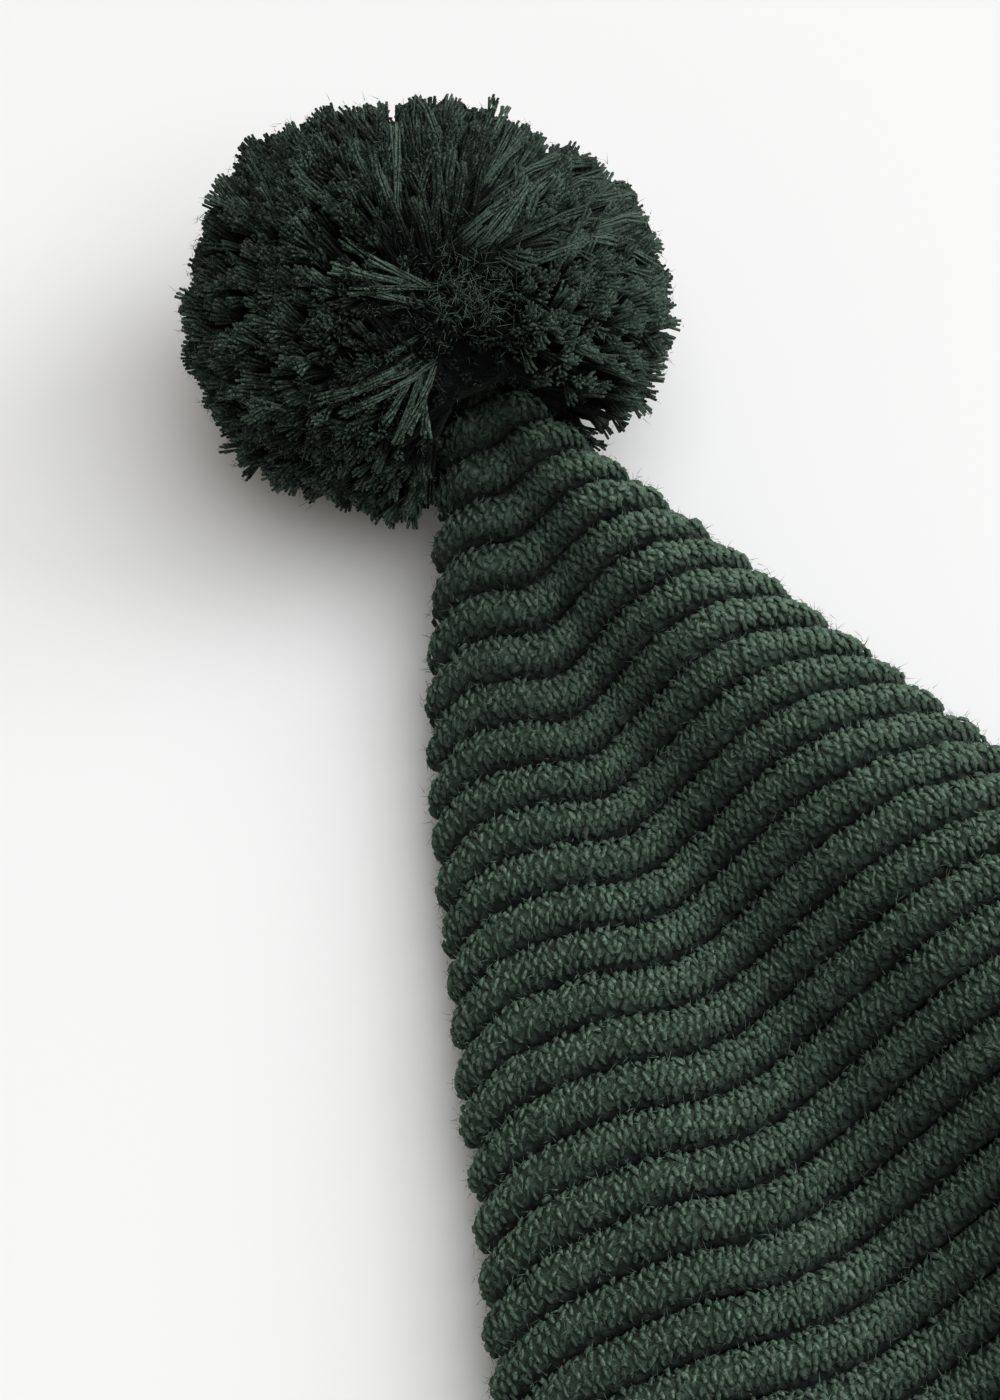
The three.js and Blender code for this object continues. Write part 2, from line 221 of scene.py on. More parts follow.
# %% [markdown]
# ## The knitting
# Each welt is a roll of purl stitches, which show as brick-laid rows of small bent loops. One mesh for
# every loop in full would take millions of faces, so the work is split. A grid bent round the roll is the
# ground of the fabric, coloured darker as painted shade, and on its upper side lie the loops, each a short
# bent drop of yarn of a few faces. Underneath, where the hat lies on the table, the ground alone shows the
# stitches in its finish, with painted shade in the gaps between them.

# %% Sizes of the stitches
STITCH_WIDTH = 2.56
PURL_ROWS = 4
GROOVE_DEPTH = -1.5
WELT_OVERLAP = 0.10
TIP_GROOVES = 0.20
GROOVES_FULL = 120.0
FIRST_GROOVE = 1.5
TIGHT_ROUNDS = 1.3
TIGHT_REACH = 5.5
WELT_COUNT = round((HAT_LENGTH - FIRST_GROOVE) / WELT_PITCH + TIGHT_ROUNDS)
GROUND_ROWS = 7
# painted shade of the ground on the upper side, where it shows between the loops
GROUND_SHADE = 0.10
GROUND_SINK = 0.15
REST_SINK = 0.2
LEAST_HEIGHT = 0.05
WALL_ROWS = 4
# painted shade inside the hat and on the flat ends of the tip
WALL_SHADE = 0.6
ROLL_POWER = 1.15
TOP_COLUMNS = 1.2
UNDER_COLUMNS = 0.8
UPPER_SIDE = -0.3


def groove_place(n):
    eased = n - TIGHT_ROUNDS * (1 - np.exp(-n / TIGHT_REACH))
    whole = WELT_COUNT - TIGHT_ROUNDS * (1 - np.exp(-WELT_COUNT / TIGHT_REACH))
    return FIRST_GROOVE + (HAT_LENGTH - FIRST_GROOVE) * eased / whole


print(WELT_COUNT, "welts; the last one from", round(groove_place(WELT_COUNT - 1), 1), "mm")


# %% Unevenness
def waves(points, size, seed, count=14):
    """Soft unevenness between about -1 and 1: a sum of sine waves that run in random directions."""
    rolls = np.random.default_rng(seed)
    ways = unit(rolls.normal(size=(count, 3))) * rolls.uniform(0.6, 1.5, (count, 1)) * 2 * np.pi / size
    phases = rolls.uniform(0, 2 * np.pi, count)
    total = np.zeros(points.shape[:-1])
    for way, phase in zip(ways, phases):
        total += np.sin(points @ way + phase)
    return total / np.sqrt(count)


UNEVENNESS = 0.20
UNEVEN_REACH = 9


def unevenness(points):
    """How far hand knitting strays out or in, in millimetres."""
    return UNEVENNESS * waves(points, UNEVEN_REACH, 5)


# %% The round profile of a welt
def groove_depth(t):
    """Out from the cloth to the bottom of a groove: shallow at the tip, full towards the rim."""
    return GROOVE_DEPTH * (TIP_GROOVES + (1 - TIP_GROOVES) * np.clip(t / GROOVES_FULL, 0, 1))


def welt_profile(pitch, count, groove):
    """Steps along and out, and the profile's normal, at even spacing over one roll."""
    turn = np.linspace(-np.pi / 2, np.pi / 2, 240)
    along = (pitch / 2 + WELT_OVERLAP) * np.sin(turn)
    out = groove + (WELT_RELIEF - groove) * np.maximum(np.cos(turn), 0) ** ROLL_POWER
    way = np.concatenate([[0], np.cumsum(np.hypot(np.diff(along), np.diff(out)))])
    even = np.linspace(0, way[-1], count)
    along, out = np.interp(even, way, along), np.interp(even, way, out)
    slope = np.gradient(along), np.gradient(out)
    size = np.hypot(*slope)
    return along, out, -slope[1] / size, slope[0] / size


roll_out = welt_profile(WELT_PITCH, 31, GROOVE_DEPTH)[1]
print("one roll stands", round(roll_out.max() - roll_out.min(), 1), "mm out of its grooves")


# %% One welt as rows and columns of points
def columns_round(t):
    """Ways round for the columns of one welt: close together on top, wide apart underneath."""
    q = np.linspace(0, 4, 1601)
    points = cloth(np.full(q.shape, t), q)
    normal = cloth_axes(np.full(q.shape, t), q)[0]
    steps = np.linalg.norm(np.diff(points, axis=0), axis=1)
    length = np.concatenate([[0], np.cumsum(steps)])
    count = max(8, round(length[-1] / STITCH_WIDTH))
    stitch = length / length[-1] * count
    middle = np.interp(0.5, q, stitch)
    fineness = np.where(normal[:-1, 2] > UPPER_SIDE, TOP_COLUMNS, UNDER_COLUMNS)
    need = np.concatenate([[0], np.cumsum(fineness * np.diff(stitch))])
    total = int(np.ceil(need[-1]))
    even = np.linspace(0, need[-1], total + 1)
    return np.interp(even, need, q), np.interp(even, need, stitch) - middle, count


def welt_rows(n):
    """The ground of one welt: its points, their stitch places and their painted shade, darker deep in the
    grooves.
    """
    start, end = groove_place(n), groove_place(n + 1)
    q, stitch = columns_round((start + end) / 2)[:2]
    groove = groove_depth(start)
    along, out, normal_along, normal_out = welt_profile(end - start, GROUND_ROWS + 1, groove)
    grid_q, grid_t = np.meshgrid(q, (start + end) / 2 + along)
    rows = np.linspace(0, PURL_ROWS, GROUND_ROWS + 1) + n * (PURL_ROWS + 1)
    base = cloth(grid_t, grid_q)
    normal, towards_rim = cloth_axes(grid_t, grid_q)
    resting = np.clip((-normal[..., 2] - 0.5) / 0.4, 0, 1)
    push = (unevenness(base) - GROUND_SINK) * (1 - resting) - REST_SINK * resting
    outward = normal * normal_out[:, None, None] + towards_rim * normal_along[:, None, None]
    points = base + normal * out[:, None, None] + outward * push[..., None]
    points[..., 2] = np.maximum(points[..., 2], LEAST_HEIGHT)
    upper = 1 - np.clip((-normal[..., 2] + 0.1) / 0.4, 0, 1)
    # painted shade: darker the deeper a point lies in a groove, and darker on the upper side under the loops
    depth = (WELT_RELIEF - out[:, None] - push) / (WELT_RELIEF - groove) + GROUND_SHADE * upper
    return points, np.stack(np.meshgrid(stitch, rows), -1), depth


sample = welt_rows(12)
print("welt 12 has", sample[0].shape[0], "rows of", sample[0].shape[1], "points")


# %% A grid bent into a closed ring
def set_points(mesh, points):
    """Moves the points of a mesh to places in millimetres."""
    mesh.vertices.foreach_set("co", (points * MM).astype(np.float32).ravel())


def set_values(mesh, key, values):
    """Gives each point a number that the materials read."""
    attribute = mesh.attributes.new(key, "FLOAT", "POINT")
    attribute.data.foreach_set("value", values.astype(np.float32).ravel())


def grid_piece(name, points, places, depth):
    """A grid primitive whose points are laid out row by row; its meeting edges are then merged."""
    rows, columns = points.shape[:2]
    bpy.ops.object.select_all(action="DESELECT")
    bpy.ops.mesh.primitive_grid_add(x_subdivisions=columns - 1, y_subdivisions=rows - 1, size=1)
    piece = bpy.context.object
    piece.name = name
    mesh = piece.data
    set_points(mesh, points)
    set_values(mesh, "painted_shade", np.clip(depth, 0, 1))
    corners = np.empty(len(mesh.loops), dtype=np.int32)
    mesh.loops.foreach_get("vertex_index", corners)
    mesh.uv_layers[0].data.foreach_set("uv", places.reshape(-1, 2)[corners].astype(np.float32).ravel())
    mesh.update()
    bpy.ops.object.mode_set(mode="EDIT")
    bpy.ops.mesh.select_all(action="SELECT")
    bpy.ops.mesh.remove_doubles(threshold=1e-7)
    bpy.ops.object.mode_set(mode="OBJECT")
    return piece


def welt_ring(n):
    """The roll outside and the smooth wall inside, or two flat ends where the tip is solid."""
    points, places, depth = welt_rows(n)
    start, end = groove_place(n), groove_place(n + 1)
    columns = points.shape[1]
    if start < CAVITY_START:
        before, after = [[np.repeat(edge.mean(0)[None], columns, 0)] for edge in (points[-1], points[0])]
    else:
        q = columns_round((start + end) / 2)[0]
        after = [cloth(np.full(columns, t), q, WALL) for t in np.linspace(start, end, WALL_ROWS)]
        before = after[-1:]
    points = np.concatenate([before, points[::-1], after])
    places = np.concatenate([places[-1:], places[::-1], np.repeat(places[:1], len(after), 0)])
    # painted shade inside the hat and on the flat ends
    shade = np.full((1, columns), WALL_SHADE)
    depth = np.concatenate([shade, depth[::-1], np.repeat(shade, len(after), 0)])
    return grid_piece(f"welt_{n}", points, places, depth)


# %% Join the welts into two pieces
def join(pieces, name):
    bpy.ops.object.select_all(action="DESELECT")
    for piece in pieces:
        piece.select_set(True)
    bpy.context.view_layer.objects.active = pieces[0]
    bpy.ops.object.join()
    joined = bpy.context.object
    joined.name = name
    joined.data.name = name
    bpy.ops.object.shade_smooth()
    return joined


def triangles(piece):
    piece.data.calc_loop_triangles()
    return len(piece.data.loop_triangles)


PARTS = {"knit_upper": (0, 24), "knit_lower": (24, WELT_COUNT)}
knit_pieces = []
for name, (first, last) in PARTS.items():
    knit_pieces.append(join([welt_ring(n) for n in range(first, last)], name))
    print(name, triangles(knit_pieces[-1]), "triangles")


# %% A piece written from arrays
def repeated(corners, count, points_each):
    """The faces of one small form, given by its corners, for as many forms as there are."""
    return (corners[None] + (np.arange(count) * points_each)[:, None, None]).reshape(-1, 3)


def mesh_piece(name, points, faces, values, places=None):
    """A smooth piece from points in millimetres, triangles, values of its points and UV places."""
    mesh = bpy.data.meshes.new(name)
    mesh.vertices.add(len(points))
    set_points(mesh, points)
    mesh.loops.add(faces.size)
    mesh.loops.foreach_set("vertex_index", faces.astype(np.int32).ravel())
    mesh.polygons.add(len(faces))
    mesh.polygons.foreach_set("loop_start", np.arange(0, faces.size, 3, dtype=np.int32))
    if places is not None:
        layer = mesh.uv_layers.new(name="UVMap")
        layer.data.foreach_set("uv", places[faces.ravel()].astype(np.float32).ravel())
    for key, value in values.items():
        set_values(mesh, key, value)
    mesh.update()
    mesh.validate()
    mesh.polygons.foreach_set("use_smooth", np.ones(len(mesh.polygons), dtype=bool))
    piece = bpy.data.objects.new(name, mesh)
    bpy.context.collection.objects.link(piece)
    return piece


# %% Where the loops lie on a welt
LOOP_LENGTH = 2.0
LOOP_RADIUS = 0.41
LOOP_ARCH = 0.45
LOOP_LEAN = np.radians(17)
LOOPS_PER_STITCH = 2
LOOP_SINK = 0.15
BESIDE_JITTER = 0.13
ALONG_JITTER = 0.16
LEAN_JITTER = 0.20
RISE_JITTER = 0.13
TONE_SPREAD = 0.24
LOOP_PLACES = [0.27, 0.385, 0.50, 0.61, 0.715]
# painted shade of each row of loops: the rows on the rim side of a welt, where its own shadow falls, are darker
LOOP_SHADES = [0.16, 0.00, 0.02, 0.22, 0.55]
# painted shade along the valley between the two ridges
VALLEY_ACROSS = 0.08
VALLEY_SPREAD = 0.30
VALLEY_SHADE = 0.42
# painted light: loops on the right flank, towards the tip, are paler where the light falls
LIT_FLANK_FROM = 0.25
PAINTED_LIGHT_TONE = 0.60
PAINTED_LIGHT_REACH = 80.0
# painted shadow of the pompom on the left side of the tip
PAINTED_TIP_SHADOW = 0.55
PAINTED_TIP_SHADOW_REACH = 75.0


def welt_loops(n, rolls):
    """Middles, directions, outward ways, painted shades and tones with painted light of the loops on top of one
    welt.
    """
    start, end = groove_place(n), groove_place(n + 1)
    q, stitch, count = columns_round((start + end) / 2)
    profile = welt_profile(end - start, 101, groove_depth(start))
    loops = count * LOOPS_PER_STITCH
    found = []
    for k, (place, shade) in enumerate(zip(LOOP_PLACES, LOOP_SHADES)):
        along, out, normal_along, normal_out = [values[round(place * 100)] for values in profile]
        offset = rolls.normal(size=(loops, 4))
        s = (np.arange(loops) + 0.5 * (k % 2) + BESIDE_JITTER * offset[:, 0]) / LOOPS_PER_STITCH
        s = stitch[0] + (s - stitch[0]) % count
        s_q = np.interp(s, stitch, q)
        t = (start + end) / 2 + along + ALONG_JITTER * offset[:, 1]
        base = cloth(t, s_q)
        normal, towards_rim = cloth_axes(t, s_q)
        outward = normal * normal_out + towards_rim * normal_along
        across = towards_rim * normal_out - normal * normal_along
        lean = LOOP_LEAN * np.where(np.arange(loops) % 2, 1, -1) + LEAN_JITTER * offset[:, 2]
        way = across * np.cos(lean)[:, None] + np.cross(outward, across) * np.sin(lean)[:, None]
        rise = out - LOOP_SINK + unevenness(base) + RISE_JITTER * offset[:, 3]
        middle = base + normal * rise[:, None]
        keep = normal[:, 2] > UPPER_SIDE
        across_cloth = section(t, s_q)[0]
        # painted shade: loops in the valley are darker
        painted_valley_shade = np.exp(-(((across_cloth - VALLEY_ACROSS) / VALLEY_SPREAD) ** 2))
        # painted shadow of the pompom: darker near the tip on its left side
        painted_pompom_shadow = np.clip(1 - t / PAINTED_TIP_SHADOW_REACH, 0, 1) * np.clip(0.7 - across_cloth, 0, 1)
        shades = shade + VALLEY_SHADE * painted_valley_shade + PAINTED_TIP_SHADOW * painted_pompom_shadow
        # painted light: paler on the right flank, fading towards the rim
        painted_light = np.clip((across_cloth - LIT_FLANK_FROM) / 0.5, 0, 1) * np.clip(1.5 - t / PAINTED_LIGHT_REACH, 0, 1)
        tones = 0.5 + TONE_SPREAD * rolls.uniform(-1, 1, loops) + PAINTED_LIGHT_TONE * painted_light
        found.append((middle[keep], way[keep], outward[keep], shades[keep], tones[keep]))
    return [np.concatenate(parts) for parts in zip(*found)]


sample_loops = welt_loops(12, np.random.default_rng(1))
print("welt 12 has", len(sample_loops[0]), "loops on top")


# %% Bent drops of yarn
LOOP_STATIONS = [-0.48, 0.48]
LOOP_WIDTH = 0.94
LOOP_SIDES = 3
LOOP_STRETCH = (0.75, 1.2)
LOOP_THICKNESS = (0.85, 1.15)


def drops(name, middles, ways, outs, shades, tones, rolls):
    """Closed bent drops: rings of points at the stations along each, and a tip at either end."""
    count = len(middles)
    beside = np.cross(ways, outs)
    stretch = rolls.uniform(*LOOP_STRETCH, (count, 1)) * LOOP_LENGTH / 2
    radius = rolls.uniform(*LOOP_THICKNESS, (count, 1)) * LOOP_RADIUS
    turn = np.arange(LOOP_SIDES) * 2 * np.pi / LOOP_SIDES
    rounds, painted_shade = [], []
    for u in [-1] + LOOP_STATIONS + [1]:
        width = LOOP_WIDTH if abs(u) < 1 else 0
        spine = middles + ways * stretch * u + outs * LOOP_ARCH * (0.6 - u**2)
        for angle in turn if width else turn[:1]:
            rounds.append(spine + (beside * np.cos(angle) + outs * np.sin(angle)) * radius * width)
            low = 0.5 - 0.5 * np.sin(angle) if width else 1
            # painted shade: darker on the underside and at the two ends of each loop, plus the painted shade of
            # its row
            painted_shade.append(0.14 * low + 0.15 * u**2 + shades)
    points = np.stack(rounds, 1)
    corners = []
    sides = LOOP_SIDES
    for i in range(sides):
        after = (i + 1) % sides
        corners.append((0, 1 + i, 1 + after))
        for j in range(len(LOOP_STATIONS) - 1):
            a, b = 1 + j * sides + i, 1 + j * sides + after
            corners.append((a, a + sides, b + sides))
            corners.append((a, b + sides, b))
        end = 1 + (len(LOOP_STATIONS) - 1) * sides
        corners.append((end + i, end + sides, end + after))
    points_each = points.shape[1]
    faces = repeated(np.array(corners)[:, ::-1], count, points_each)
    values = {"painted_shade": np.stack(painted_shade, 1), "tone": np.repeat(tones, points_each)}
    return mesh_piece(name, points.reshape(-1, 3), faces, values)


loop_pieces = []
all_loops = []
LOOP_SETS = {"loops_tip": (0, 17), "loops_upper": (17, 25), "loops_rim": (25, WELT_COUNT)}
for name, (first, last) in LOOP_SETS.items():
    loop_rolls = np.random.default_rng(200 + first)
    sets = [welt_loops(n, loop_rolls) for n in range(first, last)]
    laid_loops = [np.concatenate(parts) for parts in zip(*sets)]
    all_loops.append(laid_loops)
    loop_pieces.append(drops(name, *laid_loops, loop_rolls))
    print(name, len(laid_loops[0]), "loops,", triangles(loop_pieces[-1]), "triangles")

# %% [markdown]
# ## The drawn-in end
# Past the last welt the knitting is drawn together and tied, so the cone ends in a small blunt dome with a
# thin neck inside the pompom. A short ring of rows that shrink towards the neck closes it.

# %% The dome and the neck
DOME = [(1.9, 0.80), (0.8, 1.08), (-0.3, 1.0), (-1.2, 0.72), (-1.8, 0.45)]
DOME_COLUMNS = 65
NECK = [(-2.6, STUB_RADIUS), (-9.6, STUB_RADIUS), (-STUB_LENGTH, 0)]
dome_q = np.linspace(0, 4, DOME_COLUMNS)
tip_round = cloth(np.zeros(DOME_COLUMNS), dome_q)
tip_centre = np.array([0, TIP_Y, TIP_MIDDLE + float(lift(np.zeros(1))[0])])
spokes = tip_round - tip_centre
dome_rows = [np.repeat(tip_centre[None], DOME_COLUMNS, 0) - np.array([0, 3.0, 0])]
for t, share in DOME:
    dome_rows.append(tip_centre + spokes * share - np.array([0, t, TIP_SLOPE * t]))
for t, radius in NECK:
    dome_rows.append(tip_centre + unit(spokes) * radius - np.array([0, t, TIP_SLOPE * t]))
dome_points = np.stack(dome_rows)
dome_places = np.stack(np.meshgrid(dome_q * 6, np.arange(len(dome_rows)) * 1.0), -1)
tip_end = grid_piece("knit_end", dome_points, dome_places, np.full(dome_points.shape[:2], 0.5))
bpy.ops.object.shade_smooth()
knit_pieces.append(tip_end)
print("knit_end", triangles(tip_end), "triangles")

# %% [markdown]
# ## The pompom
# A pompom is a thick hank of yarn that is tied round its middle and cut, so every yarn starts in the
# crease at the tie and fans out to the ball's surface, where its plies fray apart at the cut. Hair
# particles could do it, but they don't stay as a mesh. Here each ply is a thin three-sided tube along its
# own curve, all written into a few big meshes. The yarns are drawn together into locks, which leaves
# gaps between tufts; painted shade darkens the strands there, deep in the ball and near the crease.

# %% Sizes of the pompom
POMPOM_LENGTH = 71.0
POMPOM_DEPTH = 61.0
POMPOM_HEIGHT = 62.0
POMPOM_TURN = np.radians(-27)
# way round in degrees, how far in (or out, below 0) and half breadth in degrees
CLEFTS = [(55, 0.09, 13), (103, 0.09, 8), (285, 0.10, 14)]
CLEFTS += [(140, -0.10, 22), (175, -0.02, 12), (215, -0.06, 22)]
PLY_RADIUS = 0.21
PLY_SIDES = 3
PLIES = 5
PLY_SPREAD = 0.33
FRAY = 0.32
TWIST = 3.0
COMBED_COUNT = 900
COMBED_POINTS = 5
LANES = 58
CUT_COUNT = 3300
LOCKS = 420
CREASE_START = unit(np.array([-0.295, -0.711, 0.634]))
CREASE_END = unit(np.array([-0.148, -0.380, 0.913]))
pompom_rolls = np.random.default_rng(23)


def pompom_reach(direction):
    """How far the yarn reaches in a direction, with the clefts and bulges of its outline."""
    c, s = np.cos(-POMPOM_TURN), np.sin(-POMPOM_TURN)
    x = direction[..., 0] * c - direction[..., 1] * s
    y = direction[..., 0] * s + direction[..., 1] * c
    z = direction[..., 2]
    size = np.sqrt((x / POMPOM_LENGTH) ** 2 + (y / POMPOM_DEPTH) ** 2 + (z / POMPOM_HEIGHT) ** 2)
    turn = np.degrees(np.arctan2(y, x))
    cut = np.zeros(turn.shape)
    for place, depth, spread in CLEFTS:
        off = (turn - place + 180) % 360 - 180
        cut += depth * np.exp(-((off / spread) ** 2))
    return 0.5 / size * (1 - cut * (1 - z**2))


TIP_TOP = 24.0
PARTING_LEAN = np.array([0.241, 0.473])


def over_tip(points, spare=0.8):
    """Whether points lie in the hat's tip or in the parting above it, which leans out to the front."""
    x, y, z = points[..., 0], points[..., 1], points[..., 2]
    t = TIP_Y - y
    beside = np.abs(x) < half_width(np.maximum(t, 0)) + WELT_RELIEF + spare
    in_tip = (t > 0) & beside & (z > lift(t) + 0.3) & (z < lift(t) + 2 * TIP_MIDDLE + 3)
    above = np.maximum(z - TIP_TOP, 0)
    leaning_t = TIP_Y - y - PARTING_LEAN[1] * above
    leaning_x = np.abs(x + PARTING_LEAN[0] * above)
    in_parting = (leaning_t > 0.3) & (z > TIP_TOP)
    in_parting &= leaning_x < half_width(np.maximum(leaning_t, 0)) + spare
    return in_tip | in_parting


print("pompom reaches", pompom_reach(np.array([[1.0, 0, 0], [0, 0, 1]])).round(1), "mm to the side and up")


# %% Where the strands end
def slerp(a, b, share):
    """Directions on the way from a to b along the great circle."""
    angle = np.arccos(np.clip((a * b).sum(-1), -1, 1))[..., None]
    size = np.maximum(np.sin(angle), 1e-4)
    return unit(np.sin((1 - share) * angle) / size * a + np.sin(share * angle) / size * b)


LOCK_LENGTHS = (0.968, 1.022)
YARN_LENGTHS = (0.95, 1.0)
LOCK_EDGE = 0.08
EDGE_SHORTER = 0.045
lock_ways = unit(pompom_rolls.normal(size=(LOCKS, 3)))
lock_lengths = pompom_rolls.uniform(*LOCK_LENGTHS, LOCKS)
lock_bends = pompom_rolls.normal(size=(LOCKS, 3))
crease_steps = np.linspace(0, 1, 9)[:, None]
crease = slerp(CREASE_START[None], CREASE_END[None], crease_steps)


def strand_ends(count, rolls, pull):
    """Directions in which strands end, drawn together into locks, with each lock's length and bend."""
    ends = unit(rolls.normal(size=(count, 3)))
    near = ends @ lock_ways.T
    lock = near.argmax(1)
    angles = np.arccos(np.clip(np.sort(near, 1)[:, -2:], -1, 1))
    edge = np.clip((angles[:, 0] - angles[:, 1]) / LOCK_EDGE, 0, 1)
    ends = unit(ends + pull * (lock_ways[lock] - ends))
    length = lock_lengths[lock] * rolls.uniform(*YARN_LENGTHS, count) * (1 - EDGE_SHORTER + EDGE_SHORTER * edge)
    return ends, length, lock_bends[lock], edge


# %% Combed yarns, which lie along the surface from the crease outwards
RIGHT, ABOVE, FRONT = (np.array(way) for way in (sideways, upward, toward))
COMBED_PULL = 0.30
COMBED_TURNS = (2, 128)
COMBED_BEGIN = (0.05, 0.45)
COMBED_ROOT = (0.60, 0.74)
COMBED_RISE = (1.0, 2.6)
START_SPREAD = 0.10
BURIED = 0.10
BEND = 0.5
WAVE = 0.3


def facing(right, above):
    """The direction from the pompom's middle that lies this far right and above in the photograph."""
    front = np.sqrt(1 - right**2 - above**2)
    return unit(right * RIGHT + above * ABOVE + front * FRONT)


def turn_at_crease(ends):
    """The way round the end of the crease in which a strand goes, in degrees."""
    off = ends - CREASE_END
    return np.degrees(np.arctan2(off @ ABOVE, off @ RIGHT))


def combed_strands(count, rolls):
    ends, length, bend, edge = strand_ends(count, rolls, COMBED_PULL)
    start = crease[(ends @ crease.T).argmax(1)]
    start = unit(start + rolls.normal(size=start.shape) * START_SPREAD)
    turn = turn_at_crease(ends)
    angle = np.arccos(np.clip((start * ends).sum(-1), -1, 1))
    late = 0.30 * np.clip((60 - turn) / 60, 0, 1)
    begin = np.clip(rolls.uniform(*COMBED_BEGIN, count) + late + np.maximum(angle - 1.5, 0) * 0.5, 0, 0.8)
    steps = np.linspace(0, 1, COMBED_POINTS)
    share = begin[:, None] + (1 - begin[:, None]) * steps[None] ** 1.1
    ways = slerp(start[:, None], ends[:, None], share[..., None])
    rise = rolls.uniform(*COMBED_RISE, count)[:, None]
    root = rolls.uniform(*COMBED_ROOT, count)[:, None]
    turn_round = np.radians(turn)
    lane = 0.5 + 0.5 * np.sin(LANES * turn_round + 2.0 * np.sin(7 * turn_round))
    bury = np.clip(rolls.uniform(0, 1, count) ** 2 + 0.8 * (1 - lane) ** 2, 0, 1.3)[:, None]
    radius = root + (length[:, None] - root) * (1 - (1 - steps[None]) ** rise) - BURIED * bury
    paths = POMPOM_MIDDLE + ways * (pompom_reach(ways) * radius)[..., None]
    paths = paths + np.sin(np.pi * steps)[None, :, None] * bend[:, None] * BEND
    paths = paths + np.sin(2 * np.pi * steps)[None, :, None] * rolls.normal(size=(count, 1, 3)) * WAVE
    keep = (angle > 0.40) & (ends[:, 2] > -0.3) & (turn > COMBED_TURNS[0]) & (turn < COMBED_TURNS[1])
    keep = keep & ~over_tip(paths).any(1)
    # painted shade: darker deep in the ball, between locks and in the lanes where strands lie buried
    depth = np.clip((1 - radius) * 3.0, 0, 1) + 0.30 * (1 - edge[:, None]) + 0.45 * bury
    # painted light: strands that run to the right are paler
    tones = 1.25 * rolls.uniform(0, 1, count) ** 2 + 0.70 * np.clip((75 - turn) / 50, 0, 1)
    return paths[keep], depth[keep], tones[keep]


# %% Pale tufts and loose ends
# start and end, each right and above the middle; how far out; how many yarns
TUFTS = [
    ((-0.04, -0.02), (-0.40, 0.17), 0.90, 7),
    ((-0.05, -0.08), (-0.32, 0.05), 0.86, 5),
    ((-0.02, -0.38), (-0.36, -0.54), 0.93, 5),
    ((-0.01, -0.44), (-0.14, -0.66), 0.97, 4),
]
# start and end of a loose end, each with how far out it lies; how many yarns
LOOSE = [
    (((-0.78, 0.38), 0.93), ((-0.86, 0.46), 1.00), 4),
    (((-0.82, 0.40), 0.93), ((-0.84, 0.50), 0.99), 3),
    (((0.30, 0.76), 0.93), ((0.32, 0.86), 1.06), 2),
]


def tufts(rolls):
    """Yarns laid in tufts over the others, from their start and end and how far out they lie."""
    steps = np.linspace(0, 1, COMBED_POINTS)[:, None]
    paths, depths = [], []
    for start, end, share, count in TUFTS:
        for _ in range(count):
            a = unit(facing(*start) + rolls.normal(size=3) * 0.05)
            b = unit(facing(*end) + rolls.normal(size=3) * 0.10)
            ways = slerp(a[None], b[None], steps)
            radius = share * (0.80 + 0.20 * steps[:, 0] ** 0.6) + rolls.normal() * 0.025
            paths.append(POMPOM_MIDDLE + ways * (pompom_reach(ways) * radius)[:, None])
            # painted shade towards the root of each tuft
            depths.append(0.5 * (1 - steps[:, 0]))
    for (inner_way, inner_share), (outer_way, outer_share), count in LOOSE:
        for _ in range(count):
            a = unit(facing(*inner_way) + rolls.normal(size=3) * 0.02)
            b = unit(facing(*outer_way) + rolls.normal(size=3) * 0.03)
            start = POMPOM_MIDDLE + a * pompom_reach(a) * inner_share * 0.9
            end = POMPOM_MIDDLE + b * pompom_reach(b) * outer_share
            paths.append(start + (end - start) * steps)
            # painted shade towards the root of each loose end
            depths.append(0.4 * (1 - steps[:, 0]))
    return np.stack(paths), np.stack(depths), rolls.uniform(0.25, 0.9, len(paths))


# %% Cut yarns, which run straight out and show their ends
NECK_MIDDLE = np.array([0.0, TIP_Y + 5.0, 27.5])
NECK_SPREAD = np.array([2.0, 3.0, 2.0])
CUT_STEPS = np.array([0, 0.62, 1])
CUT_PULL = 0.25
CUT_CURL = 1.5
CUT_ROOT = (0.55, 0.68)
LEAST_CUT = 11


def clear_share(roots, tips):
    """How much of the way from root to tip a strand may go before it meets the hat's tip."""
    share = np.zeros(len(roots))
    going = np.ones(len(roots), dtype=bool)
    for step in np.linspace(0.3, 1, 24):
        going = going & ~over_tip(roots + (tips - roots) * step)
        share = np.where(going, step, share)
    return share


